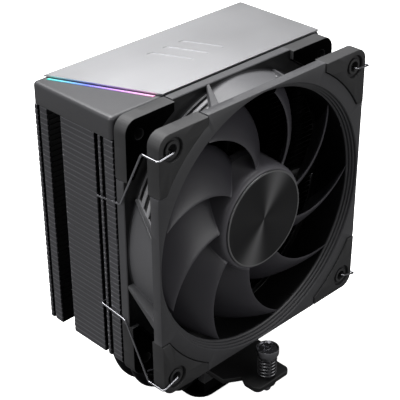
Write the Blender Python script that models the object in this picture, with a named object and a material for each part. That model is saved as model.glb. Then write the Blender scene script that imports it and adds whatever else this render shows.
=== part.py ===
"""Tower cooler for a computer processor: finned block, heat pipes, base, mounting bar, fan and top cover.

Frame: origin at the centre of the cold plate's underside, +Z up, the fan's intake faces -Y.
All lengths are metres; every length below is written in millimetres times MM.
"""
import math

import bmesh
import bpy
from mathutils import Matrix, Vector

MM = 0.001
GAP = 0.3 * MM             # clearance kept between neighbouring pieces
HOLE_CLEARANCE = 0.5 * MM  # radial clearance of a plain bolt hole

# fan envelope; the fan stands in front of the fins
FIN_FRONT = -16.2 * MM     # y of the fins' front edges
FAN_SETBACK = 0.8 * MM     # between the fan and the fins
FAN_SIZE = 120 * MM
FAN_DEPTH = 25 * MM
FAN_FRONT = FIN_FRONT - FAN_SETBACK - FAN_DEPTH
FAN_BOTTOM = 38 * MM       # height of the fan's lower edge
FAN_AXIS = FAN_BOTTOM + FAN_SIZE / 2
HALF_FAN = FAN_SIZE / 2
HOLE_INSET = 7.5 * MM      # screw holes from the frame's sides
HOLE_PITCH = FAN_SIZE - 2 * HOLE_INSET
FAN_CORNER = 6 * MM

# duct
DUCT_OUTER = HALF_FAN - 1.5 * MM
DUCT_INNER = DUCT_OUTER - 2.0 * MM
MOUTH_RADIUS = HALF_FAN - 0.7 * MM

# fan flanges and corner pads, depths measured back from FAN_FRONT
MID_FRONT = (0.5 * MM, 5.3 * MM)
MID_REAR = (FAN_DEPTH - 5.0 * MM, FAN_DEPTH - 0.5 * MM)
PAD_FRONT = (0.0, 6.7 * MM)
PAD_REAR = (FAN_DEPTH - 6.7 * MM, FAN_DEPTH)
TONGUE_FRONT = (2.4 * MM, 4.4 * MM)
TONGUE_REAR = (FAN_DEPTH - 4.4 * MM, FAN_DEPTH - 2.4 * MM)
DUCT_SPAN = (3.4 * MM, FAN_DEPTH - 3.4 * MM)
PAD_START = HALF_FAN - 26 * MM     # pads cover the corner beyond this distance from the axis planes
PAD_REACH = 8.85 * MM      # from a screw hole to the inner arc of its pad
PAD_ARC = math.hypot(HOLE_PITCH / 2, HOLE_PITCH / 2) - PAD_REACH
PAD_RECESS = 0.4 * MM      # pads sit this much inside the frame's sides
PAD_WALL = 1.8 * MM
PAD_DISH = (3.4 * MM, 5.0 * MM, 0.8 * MM)   # ring groove round the hole: inner, outer radius, depth
HOLE_RADIUS = 2.2 * MM

# vent grooves, webs and motor mount
VENT_SLOT = 2.0 * MM
VENT_PITCH = 3.3 * MM
VENT_COUNT = 4
VENT_FIRST = 7.2 * MM
VENT_FROM = 12.0           # degrees clockwise from the top of the duct, front slot
VENT_SPAN = 53.0
VENT_TWIST = 3.4           # degrees each slot is turned against the one before
VENT_FLOOR = 0.9 * MM      # wall left between a slot and the bore
WEB_INSET = 0.25 * MM      # slanted webs end this far inside the frame's sides
WEB_BASE = 14 * MM         # webs start this deep inside the frame's sides
WEB_DEPTH = (4.6 * MM, FAN_DEPTH - 4.4 * MM)
# front and rear position of each web along a side, its front and rear width
WEBS = ((8 * MM - PAD_START, -14 * MM, 4.4 * MM, 1.6 * MM), (13 * MM, PAD_START - 10 * MM, 1.6 * MM, 2.4 * MM))
ARM_WIDTH = 5 * MM
MOUNT_RADIUS = 20 * MM
MOUNT = (FAN_DEPTH - 3.4 * MM, FAN_DEPTH - 0.8 * MM)

# impeller
BLADES = 9
BLADE_PHASE = 3.7          # degrees, tip corner of the first blade from +X
BLADE_ROOT = 22.0 * MM
TIP_CLEARANCE = 1.1 * MM
BLADE_TIP = DUCT_INNER - TIP_CLEARANCE
BLADE_THICK = 1.4 * MM
BLADE_SWEEP = 27.0         # degrees the leading edge trails at the root
BLADE_CURVE = 1.45         # power of the sweep along the span
CHORD_ROOT = 37.0          # degrees covered by a blade at its root and tip
CHORD_TIP = 24.0
EDGE_ROOT = (4.4 * MM, FAN_DEPTH - 8.0 * MM)   # depths of the leading and trailing edge at the root
EDGE_TIP = (3.4 * MM, FAN_DEPTH - 4.4 * MM)
HUB_FACE = 2.3 * MM
HUB_RADIUS = 22.8 * MM
HUB_FLARE = 24.6 * MM
HUB_INNER = 21.0 * MM
HUB_BACK = FAN_DEPTH - 6.5 * MM
HUB_WEB = 1.7 * MM
CAP_RADIUS = 21.7 * MM
CAP_THICK = 0.5 * MM
YOKE_WALL = 1.0 * MM
MAGNET_WALL = 2.1 * MM
AIR_GAP = 0.7 * MM
SHAFT_RADIUS = 1.6 * MM
BEARING_RADIUS = 4.0 * MM
MOTOR_BOARD = (FAN_DEPTH - 5.8 * MM, FAN_DEPTH - 4.6 * MM)

# fins; the cover's skirt hides the top of the stack
PLATE_TOP = FAN_BOTTOM + FAN_SIZE
PLATE_RISE = 1.0 * MM      # top plate above the cover
COVER_TOP = PLATE_TOP - PLATE_RISE
COVER_SKIRT = 10 * MM
FIN_PITCH = 2.42 * MM
FIN_THICK = 0.4 * MM
FIN_BOTTOM = 42.6 * MM
FIN_COUNT = int((COVER_TOP - COVER_SKIRT - FIN_BOTTOM) / FIN_PITCH) + 1
FIN_HALF = HALF_FAN - 0.4 * MM
FIN_BACK = 31.5 * MM
GROOVE = (-7.4 * MM, -5.2 * MM)    # y range of the notch the fan clip drops into
GROOVE_DEPTH = 5.0 * MM
WALL_END = 15.0 * MM               # the folded edge runs from the notch to here
SLOT_END = 23.6 * MM
SLOT_DEPTH = 12.0 * MM
LIP_THICK = 0.4 * MM

# heat pipes
PIPE_RADIUS = 3.0 * MM
PIPE_HEIGHT = 7.6 * MM
PIPE_PITCH = 8.5 * MM
PIPE_TOP = COVER_TOP - 5.5 * MM
BEND_START = 18 * MM
LEG_X = tuple(HALF_FAN - inset * MM for inset in (30, 21, 21, 30))
LEG_Y = (-9.0 * MM, 1.5 * MM, 13.5 * MM, 24.0 * MM)

# base
BASE_X = 19 * MM
BASE_Y = 20 * MM
BLOCK_X = 15 * MM
FLANGE_THICK = 2.0 * MM
FLANGE_CORNER = 8.0 * MM
FLANGE_STEP = 0.8 * MM     # flange stands proud of the block's front and back
BLOCK_TOP = 15.7 * MM
BAR_THICK = 2.5 * MM
BAR_BOTTOM = BLOCK_TOP + GAP
BAR_TOP = BAR_BOTTOM + BAR_THICK
BAR_END = 49 * MM
BAR_HALF_END = 10.7 * MM
BAR_HALF_NECK = 8.9 * MM
BAR_HALF_BODY = 16.4 * MM
BAR_NECK = 37.7 * MM
BAR_BODY = 33.1 * MM
BOLT_X = 10 * MM
BOLT_Y = 8.5 * MM
BOLT_RADIUS = 1.5 * MM
BOLT_HEAD = 2.8 * MM
BOLT_TIP = 11.6 * MM

# spring screws
SCREW_Y = 44.5 * MM
SCREW_TIP = 10.4 * MM
SCREW_RADIUS = 1.9 * MM
SCREW_NECK = 1.4 * MM
SEAT = 28.9 * MM           # height of the spring's upper seat, the underside of the head
SEAT_RADIUS = 4.3 * MM
HEAD_RADIUS = 5.1 * MM
HEAD_RISE = 1.9 * MM       # height over which the head widens
HEAD_TOP = 33.9 * MM
HEAD_LIP = 0.8 * MM
HEAD_SINK = 0.7 * MM
CROSS_DEPTH = 1.4 * MM
CROSS_REACH = 2.8 * MM
CROSS_HALF = 0.6 * MM
SPRING_RADIUS = 3.9 * MM
SPRING_WIRE = 0.5 * MM
SPRING_TURNS = 5
CLIP_RING = (14.45 * MM, 15.05 * MM)
RING_RADIUS = 4.0 * MM

# cover
COVER_WALL = 1.6 * MM
COVER_CORNER = 2 * MM
EDGE_REAR = (5.7 * MM - HALF_FAN, FIN_BACK - 0.8 * MM)     # ends of the plate's slanted edge
EDGE_FRONT = (26.8 * MM - HALF_FAN, FIN_FRONT + 0.2 * MM)
PLATE_RIGHT = HALF_FAN - 0.9 * MM
GUIDE_OFFSET = (0.7 * MM, 1.9 * MM)    # light strip, measured square to the slanted edge
GUIDE_DEPTH = 5.5 * MM
BOARD_THICK = 1.0 * MM

# fan clips
WIRE_RADIUS = 0.5 * MM
WIRE_FACE = 0.85 * MM      # wire centre stands this far off the pads' front
WIRE_SIDE = HALF_FAN + 0.9 * MM
WIRE_INSERT = 3.0 * MM
CLIP_STEP = (24.2 * MM, -30.5 * MM)    # heights, from the fan axis, where the wire meets the fins
CLIP_DROP = 1.6 * MM
WIRE_SINK = 2.6 * MM       # the wire lies this deep in the fins' notch


def linear(value):
    """Linear light value of one display colour channel."""
    return value / 12.92 if value <= 0.04045 else ((value + 0.055) / 1.055) ** 2.4


def material(name, colour, roughness, metallic):
    """Principled material of one display colour."""
    mat = bpy.data.materials.new(name)
    mat.use_nodes = True
    shader = mat.node_tree.nodes["Principled BSDF"]
    shader.inputs["Base Color"].default_value = (*[linear(c) for c in colour], 1.0)
    shader.inputs["Roughness"].default_value = roughness
    shader.inputs["Metallic"].default_value = metallic
    mat.diffuse_color = shader.inputs["Base Color"].default_value
    return mat


def finish(name, bm, mat, origin=(0.0, 0.0, 0.0)):
    """Turn a bmesh into a named object whose origin sits at the given point."""
    bmesh.ops.remove_doubles(bm, verts=bm.verts, dist=1e-7)
    bmesh.ops.recalc_face_normals(bm, faces=bm.faces)
    bmesh.ops.translate(bm, verts=bm.verts, vec=-Vector(origin))
    mesh = bpy.data.meshes.new(name)
    bm.to_mesh(mesh)
    bm.free()
    mesh.materials.append(mat)
    mesh.shade_smooth()
    mesh.set_sharp_from_angle(angle=math.radians(35))
    obj = bpy.data.objects.new(name, mesh)
    obj.location = origin
    bpy.context.scene.collection.objects.link(obj)
    return obj


def add_faces(bm, points, faces):
    """Add a closed shell given by points and index loops."""
    verts = [bm.verts.new(p) for p in points]
    for face in faces:
        bm.faces.new([verts[i] for i in face])


def place(axis, u, v, w):
    """Point with plane coordinates u, v and height w along the named axis."""
    return {"z": (u, v, w), "y": (u, w, v), "x": (w, u, v)}[axis]


def prism(bm, outline, low, high, axis="z"):
    """Add a prism of a plane outline between two heights along an axis."""
    count = len(outline)
    points = [place(axis, u, v, low) for u, v in outline]
    points += [place(axis, u, v, high) for u, v in outline]
    faces = [list(range(count))[::-1], list(range(count, 2 * count))]
    faces += [[i, (i + 1) % count, count + (i + 1) % count, count + i] for i in range(count)]
    add_faces(bm, points, faces)


def revolve(bm, profile, segments, axis, centre):
    """Add the solid swept by a closed profile of (radius, height) turned round an axis."""
    rings = []
    for radius, height in profile:
        if radius == 0:
            rings.append([bm.verts.new(place(axis, centre[0], centre[1], height))] * segments)
            continue
        ring = []
        for k in range(segments):
            angle = math.tau * k / segments
            u = centre[0] + radius * math.cos(angle)
            v = centre[1] + radius * math.sin(angle)
            ring.append(bm.verts.new(place(axis, u, v, height)))
        rings.append(ring)
    for i, ring in enumerate(rings):
        after = rings[(i + 1) % len(rings)]
        for k in range(segments):
            n = (k + 1) % segments
            loop = []
            for vert in (ring[k], ring[n], after[n], after[k]):
                if vert not in loop:
                    loop.append(vert)
            if len(loop) > 2:
                bm.faces.new(loop)


def tube(bm, path, radius, sides):
    """Add a round bar along a path of points, closed at both ends."""
    path = [Vector(p) for p in path]
    side = None
    rings = []
    for i, point in enumerate(path):
        before = path[max(i - 1, 0)]
        after = path[min(i + 1, len(path) - 1)]
        ahead = (after - before).normalized()
        if side is None:
            side = ahead.orthogonal().normalized()
        side = (side - ahead * side.dot(ahead)).normalized()
        other = ahead.cross(side)
        stretch = 1.0
        if 0 < i < len(path) - 1:
            turn = (point - before).normalized().dot((after - point).normalized())
            stretch = 1.0 / max(math.sqrt((1.0 + turn) / 2.0), 0.8)
        ring = []
        for k in range(sides):
            angle = math.tau * k / sides
            offset = side * math.cos(angle) + other * math.sin(angle)
            ring.append(bm.verts.new(point + offset * radius * (stretch + 1.0) / 2.0))
        rings.append(ring)
    for ring, after in zip(rings, rings[1:]):
        for k in range(sides):
            n = (k + 1) % sides
            bm.faces.new([ring[k], ring[n], after[n], after[k]])
    bm.faces.new(rings[0][::-1])
    bm.faces.new(rings[-1])


def combine(bm, tool, operation):
    """Exact Boolean of one solid bmesh with another; returns the result as a new bmesh."""
    objects = []
    for number, part in enumerate((bm, tool)):
        bmesh.ops.recalc_face_normals(part, faces=part.faces)
        mesh = bpy.data.meshes.new("working_%d" % number)
        part.to_mesh(mesh)
        part.free()
        obj = bpy.data.objects.new("working_%d" % number, mesh)
        bpy.context.scene.collection.objects.link(obj)
        objects.append(obj)
    modifier = objects[0].modifiers.new("combine", "BOOLEAN")
    modifier.solver = "EXACT"
    modifier.operation = operation
    modifier.object = objects[1]
    evaluated = objects[0].evaluated_get(bpy.context.evaluated_depsgraph_get())
    result = bmesh.new()
    result.from_mesh(evaluated.to_mesh())
    evaluated.to_mesh_clear()
    for obj in objects:
        bpy.data.objects.remove(obj, do_unlink=True)
    bmesh.ops.remove_doubles(result, verts=result.verts, dist=2e-6)
    bmesh.ops.dissolve_degenerate(result, edges=result.edges, dist=2e-6)
    return result


def arc(radius, first, last, steps, centre=(0.0, 0.0)):
    """Points of an arc between two angles in degrees."""
    points = []
    for k in range(steps + 1):
        angle = math.radians(first + (last - first) * k / steps)
        points.append((centre[0] + radius * math.cos(angle), centre[1] + radius * math.sin(angle)))
    return points


def rounded(x0, x1, y0, y1, radius, steps=3):
    """Rectangle outline with rounded corners."""
    outline = []
    for cx, cy, start in ((x1, y1, 0), (x0, y1, 90), (x0, y0, 180), (x1, y0, 270)):
        mx = cx - math.copysign(radius, cx - (x0 + x1) / 2)
        my = cy - math.copysign(radius, cy - (y0 + y1) / 2)
        outline += arc(radius, start, start + 90, steps, (mx, my))
    return outline


def fill(bm, verts, loops):
    """Fill a plane ring with holes, given as index loops, in triangles."""
    edges = []
    for loop in loops:
        for a, b in zip(loop, loop[1:] + loop[:1]):
            edge = bm.edges.get((verts[a], verts[b]))
            edges.append(edge or bm.edges.new((verts[a], verts[b])))
    bmesh.ops.triangle_fill(bm, use_beauty=True, use_dissolve=False, edges=edges)


def build_fins(mat):
    """Stack of notched plates with square pipe holes, held together by the folded edges at their sides."""
    fold = FIN_HALF - LIP_THICK
    side = [(FIN_HALF, FIN_FRONT), (FIN_HALF, GROOVE[0]), (FIN_HALF - GROOVE_DEPTH, GROOVE[0]),
            (FIN_HALF - GROOVE_DEPTH, GROOVE[1]), (fold, GROOVE[1]),
            (FIN_HALF, GROOVE[1]), (FIN_HALF, WALL_END), (fold, WALL_END),
            (FIN_HALF - SLOT_DEPTH, WALL_END), (FIN_HALF - SLOT_DEPTH, SLOT_END),
            (FIN_HALF, SLOT_END), (FIN_HALF, FIN_BACK)]
    outline = side + [(-x, y) for x, y in side[::-1]]
    count = len(outline)
    strips = [(4, 5, 6, 7), (count - 8, count - 7, count - 6, count - 5)]
    outer = {i for strip in strips for i in strip[1:3]}
    walls = {pair for strip in strips for pair in zip(strip, strip[1:])}
    reach = PIPE_RADIUS + GAP
    plan = list(outline)
    for sign in (-1, 1):
        for x, y in zip(LEG_X, LEG_Y):
            plan += [(sign * x + dx * reach, y + dy * reach)
                     for dx, dy in ((-1, -1), (1, -1), (1, 1), (-1, 1))]
    rim = list(range(count))
    inner_rim = [i for i in rim if i not in outer]
    holes = [list(range(first, first + 4)) for first in range(count, len(plan), 4)]
    bm = bmesh.new()
    below = None
    for number in range(FIN_COUNT):
        height = FIN_BOTTOM + number * FIN_PITCH
        first, last = number == 0, number == FIN_COUNT - 1
        bottom = [bm.verts.new((x, y, height)) if first or i not in outer else None
                  for i, (x, y) in enumerate(plan)]
        top = [bm.verts.new((x, y, height + FIN_THICK)) for x, y in plan]
        fill(bm, bottom, [rim if first else inner_rim] + holes)
        fill(bm, top, [rim if last else inner_rim] + holes)
        for loop in [rim] + holes:
            for a, b in zip(loop, loop[1:] + loop[:1]):
                if first or (a, b) not in walls:
                    bm.faces.new([top[a], top[b], bottom[b], bottom[a]])
        if below:
            for a, b, c, d in strips:
                bm.faces.new([bottom[d], bottom[a], below[a], below[d]])
                bm.faces.new([top[b], top[c], below[c], below[b]])
                bm.faces.new([top[a], top[b], below[b], below[a], bottom[a]])
                bm.faces.new([top[c], top[d], bottom[d], below[d], below[c]])
        below = top
    finish("fin_stack", bm, mat)


def pipe_path(number):
    """Path of one U-shaped pipe: up through the fins, down, along the base and up again."""
    base_y = (number - 1.5) * PIPE_PITCH
    leg_x, leg_y = LEG_X[number], LEG_Y[number]
    half = [(leg_x, leg_y, PIPE_TOP), (leg_x, leg_y, PIPE_TOP - 1.6 * MM),
            (leg_x, leg_y, FIN_BOTTOM - 1.5 * MM)]
    start = Vector((leg_x, leg_y, FIN_BOTTOM - 1.5 * MM))
    end = Vector((BEND_START, base_y, PIPE_HEIGHT))
    down = start + Vector((0, 0, -0.75 * (start.z - end.z)))
    across = end + Vector((0.85 * (leg_x - BEND_START) + 4 * MM, 0, 0))
    for k in range(1, 7):
        t = k / 6
        point = start * (1 - t) ** 3 + down * 3 * t * (1 - t) ** 2
        point += across * 3 * t * t * (1 - t) + end * t ** 3
        half.append(tuple(point))
    return half + [(-x, y, z) for x, y, z in half[::-1]]


def build_pipes(mat):
    """Four pipes, tapered to a closed tip at both ends."""
    for number in range(4):
        bm = bmesh.new()
        tube(bm, pipe_path(number), PIPE_RADIUS, 8)
        for vert in bm.verts:
            if vert.co.z > PIPE_TOP - 0.5 * MM:
                sign = math.copysign(1, vert.co.x)
                vert.co.x += (sign * LEG_X[number] - vert.co.x) * 0.5
                vert.co.y += (LEG_Y[number] - vert.co.y) * 0.5
        finish("heat_pipe_%d" % (number + 1), bm, mat)


def groove_line(side, ends, reach):
    """Outline points of four round grooves along Y, cut into the face at the pipes' centre height."""
    points = []
    level = PIPE_HEIGHT + side * GAP / 2
    for number in range(4):
        y = (number - 1.5) * PIPE_PITCH
        lift = math.degrees(math.asin(GAP / 2 / reach))
        points += [(y + py, PIPE_HEIGHT + pz) for py, pz in
                   arc(reach, 180 - side * lift, side * lift if side > 0 else 360 - lift, 5)]
        points[-6] = (points[-6][0], level)
        points[-1] = (points[-1][0], level)
    return [(-ends, level)] + points + [(ends, level)]


def build_base(plate_metal, block_metal, bar_metal, bolt_metal):
    """Cold plate, upper block, mounting bar and the bolts that hold the bar."""
    reach = PIPE_RADIUS + GAP + 0.1 * MM
    bm = bmesh.new()
    line = groove_line(-1, BASE_Y, reach)
    low = FLANGE_THICK / 2
    prism(bm, [(-BASE_Y, low), (BASE_Y, low)] + line[::-1], -BLOCK_X, BLOCK_X, "x")
    flange = bmesh.new()
    half_y = BASE_Y + FLANGE_STEP
    prism(flange, rounded(-BASE_X, BASE_X, -half_y, half_y, FLANGE_CORNER, 6), 0.0, FLANGE_THICK)
    finish("cold_plate", combine(bm, flange, "UNION"), plate_metal)

    bm = bmesh.new()
    line = groove_line(1, BASE_Y, reach)
    prism(bm, line + [(BASE_Y, BLOCK_TOP), (-BASE_Y, BLOCK_TOP)], -BLOCK_X, BLOCK_X, "x")
    holes = bmesh.new()
    bar_holes = bmesh.new()
    for number, (x, y) in enumerate(((-1, -1), (1, -1), (1, 1), (-1, 1)), 1):
        x, y = x * BOLT_X, y * BOLT_Y
        radius = BOLT_RADIUS + GAP
        prism(holes, arc(radius, 0, 315, 7, (x, y)), BOLT_TIP - GAP, BLOCK_TOP + MM)
        prism(bar_holes, arc(radius, 0, 315, 7, (x, y)), BAR_BOTTOM - MM, BAR_TOP + MM)
        head = BAR_TOP + GAP
        bolt = bmesh.new()
        revolve(bolt, [(0, BOLT_TIP), (BOLT_RADIUS, BOLT_TIP), (BOLT_RADIUS, head),
                        (BOLT_HEAD, head), (BOLT_HEAD, head + 1.1 * MM),
                        (BOLT_HEAD - 0.8 * MM, head + 1.9 * MM), (0, head + 1.9 * MM)],
                10, "z", (x, y))
        finish("crossbar_bolt_%d" % number, bolt, bolt_metal, (x, y, head))
    bm = combine(bm, holes, "DIFFERENCE")
    finish("base_block", bm, block_metal)

    quarter = [(BAR_HALF_BODY, BAR_BODY), (BAR_HALF_NECK, BAR_NECK),
               (BAR_HALF_END, BAR_NECK + 3.3 * MM)]
    quarter += arc(3 * MM, 0, 90, 3, (BAR_HALF_END - 3 * MM, BAR_END - 3 * MM))
    half = quarter + [(-x, y) for x, y in quarter[::-1]]
    bm = bmesh.new()
    prism(bm, half + [(-x, -y) for x, y in half], BAR_BOTTOM, BAR_TOP)
    for y in (-SCREW_Y, SCREW_Y):
        prism(bar_holes, arc(SCREW_RADIUS + HOLE_CLEARANCE, 0, 324, 9, (0, y)),
              BAR_BOTTOM - MM, BAR_TOP + MM)
    bm = combine(bm, bar_holes, "DIFFERENCE")
    finish("crossbar", bm, bar_metal)


def build_spring_screw(prefix, y, dark, spring_metal, ring_metal):
    """Screw with a flared head, the spring under it and the open ring clipped in its neck."""
    origin = (0.0, y, BAR_TOP)
    bm = bmesh.new()
    low, high = CLIP_RING[0] - GAP, CLIP_RING[1] + GAP
    profile = [(0, SCREW_TIP), (SCREW_RADIUS - 0.6 * MM, SCREW_TIP), (SCREW_RADIUS, SCREW_TIP + 0.9 * MM),
               (SCREW_RADIUS, low), (SCREW_NECK, low), (SCREW_NECK, high), (SCREW_RADIUS, high),
               (SCREW_RADIUS, SEAT), (SEAT_RADIUS, SEAT), (HEAD_RADIUS, SEAT + HEAD_RISE),
               (HEAD_RADIUS, HEAD_TOP), (HEAD_RADIUS - HEAD_LIP, HEAD_TOP),
               (HEAD_RADIUS - HEAD_LIP, HEAD_TOP - HEAD_SINK), (0, HEAD_TOP - HEAD_SINK)]
    revolve(bm, profile, 16, "z", (0.0, y))
    tool = bmesh.new()
    reach, width = CROSS_REACH, CROSS_HALF
    cross = []
    for dx, dy in ((1, 0), (0, 1), (-1, 0), (0, -1)):
        cross += [(reach * dx + width * dy, reach * dy - width * dx),
                  (reach * dx - width * dy, reach * dy + width * dx),
                  (-width * (dy - dx), width * (dx + dy))]
    prism(tool, [(u, y + v) for u, v in cross], HEAD_TOP - HEAD_SINK - CROSS_DEPTH, HEAD_TOP + MM)
    bm = combine(bm, tool, "DIFFERENCE")
    finish(prefix + "_spring_screw", bm, dark, origin)

    bm = bmesh.new()
    start, stop = BAR_TOP + GAP + SPRING_WIRE, SEAT - GAP - SPRING_WIRE
    around = 8
    steps = SPRING_TURNS * around
    path = []
    for k in range(steps + 1):
        angle = math.tau * k / around
        path.append((SPRING_RADIUS * math.cos(angle), y + SPRING_RADIUS * math.sin(angle),
                     start + (stop - start) * k / steps))
    tube(bm, path, SPRING_WIRE, 4)
    finish(prefix + "_spring", bm, spring_metal, origin)

    bm = bmesh.new()
    ring = arc(RING_RADIUS, -150, 150, 9, (0, y)) + arc(SCREW_NECK + GAP, 150, -150, 9, (0, y))
    prism(bm, ring, *CLIP_RING)
    finish(prefix + "_retaining_ring", bm, ring_metal, origin)


def slanted(offset, y):
    """Point of the line parallel to the plate's slanted edge, shifted left by offset, at a given y."""
    run = Vector((EDGE_REAR[0] - EDGE_FRONT[0], EDGE_REAR[1] - EDGE_FRONT[1])).normalized()
    left = Vector((-run.y, run.x))
    base = Vector(EDGE_FRONT) + left * offset
    return (base.x + run.x * (y - base.y) / run.y, y)


def build_cover(frame_mat, plate_mat, guide_mat, board_mat):
    """Hollow cover frame, the metal plate on it, the light strip and its board."""
    bottom = FIN_BOTTOM + (FIN_COUNT - 1) * FIN_PITCH + FIN_THICK + GAP
    bm = bmesh.new()
    outer = rounded(-HALF_FAN, HALF_FAN, FIN_FRONT, FIN_BACK, COVER_CORNER, 2)
    inset = COVER_CORNER - 1.2 * MM
    shell = [[(x, y, bottom) for x, y in outer], [(x, y, COVER_TOP - MM) for x, y in outer]]
    top = rounded(-HALF_FAN + MM, HALF_FAN - MM, FIN_FRONT + MM, FIN_BACK - MM, inset, 2)
    shell.append([(x, y, COVER_TOP) for x, y in top])
    count = len(outer)
    points = [p for ring in shell for p in ring]
    faces = [list(range(count))[::-1], list(range(2 * count, 3 * count))]
    for level in range(2):
        for i in range(count):
            n = (i + 1) % count
            faces.append([level * count + i, level * count + n,
                          (level + 1) * count + n, (level + 1) * count + i])
    add_faces(bm, points, faces)
    tool = bmesh.new()
    prism(tool, rounded(-HALF_FAN + COVER_WALL, HALF_FAN - COVER_WALL, FIN_FRONT + COVER_WALL,
                        FIN_BACK - COVER_WALL, MM, 1), bottom - MM, COVER_TOP - COVER_WALL)
    bm = combine(bm, tool, "DIFFERENCE")
    strip_front, strip_back = FIN_FRONT + 2.4 * MM, FIN_BACK - 3.4 * MM
    tool = bmesh.new()
    near, far = GUIDE_OFFSET[0] - GAP, GUIDE_OFFSET[1] + GAP
    prism(tool, [slanted(near, strip_front - GAP), slanted(near, strip_back + GAP),
                 slanted(far, strip_back + GAP), slanted(far, strip_front - GAP)],
          COVER_TOP - 3 * COVER_WALL, COVER_TOP + MM)
    bm = combine(bm, tool, "DIFFERENCE")
    finish("cover_frame", bm, frame_mat)

    bm = bmesh.new()
    guide = [slanted(GUIDE_OFFSET[0], strip_front), slanted(GUIDE_OFFSET[0], strip_back),
             slanted(GUIDE_OFFSET[1], strip_back), slanted(GUIDE_OFFSET[1], strip_front)]
    prism(bm, guide, COVER_TOP - GUIDE_DEPTH + BOARD_THICK + GAP, COVER_TOP + 0.3 * MM)
    finish("light_guide", bm, guide_mat)
    bm = bmesh.new()
    board_front, board_back = strip_front + MM, strip_back - MM
    prism(bm, [slanted(-MM, board_front), slanted(-MM, board_back),
               slanted(4 * MM, board_back), slanted(4 * MM, board_front)],
          COVER_TOP - GUIDE_DEPTH, COVER_TOP - GUIDE_DEPTH + BOARD_THICK)
    finish("led_board", bm, board_mat)

    bm = bmesh.new()
    plate_bottom = COVER_TOP + GAP
    prism(bm, [EDGE_FRONT, (PLATE_RIGHT - 0.4 * MM, EDGE_FRONT[1]), (PLATE_RIGHT, EDGE_FRONT[1] + MM),
               (PLATE_RIGHT, EDGE_REAR[1]), EDGE_REAR], plate_bottom, PLATE_TOP)
    tool = bmesh.new()
    for number in range(3):
        shift = (-10 + 9 * number) * MM
        prism(tool, [(shift + 6 * MM, 0.0), (shift + 9 * MM, 0.0),
                     (shift + 1.2 * MM, 17 * MM), (shift - 1.8 * MM, 17 * MM)],
              PLATE_TOP - 0.25 * MM, PLATE_TOP + MM)
    bm = combine(bm, tool, "DIFFERENCE")
    finish("top_plate", bm, plate_mat)


def depth(distance):
    """Y of a plane this far behind the fan's front."""
    return FAN_FRONT + distance


def square(half, radius):
    """Rounded square outline about the fan axis."""
    return rounded(-half, half, FAN_AXIS - half, FAN_AXIS + half, radius)


def corner_turn(points, quarter):
    """Turn points of the top right corner by quarter turns about the fan axis."""
    turned = []
    for x, z in points:
        z -= FAN_AXIS
        for _ in range(quarter):
            x, z = -z, x
        turned.append((x, z + FAN_AXIS))
    return turned


def web_outlines():
    """Outlines, in x and y, of the slanted webs that join the flanges on the top side."""
    front, rear = (depth(distance) for distance in WEB_DEPTH)
    outlines = []
    for x_front, x_rear, wide, narrow in WEBS:
        outlines.append([(x_front - wide / 2, front), (x_front + wide / 2, front),
                         (x_rear + narrow / 2, rear), (x_rear - narrow / 2, rear)])
    return outlines


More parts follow.
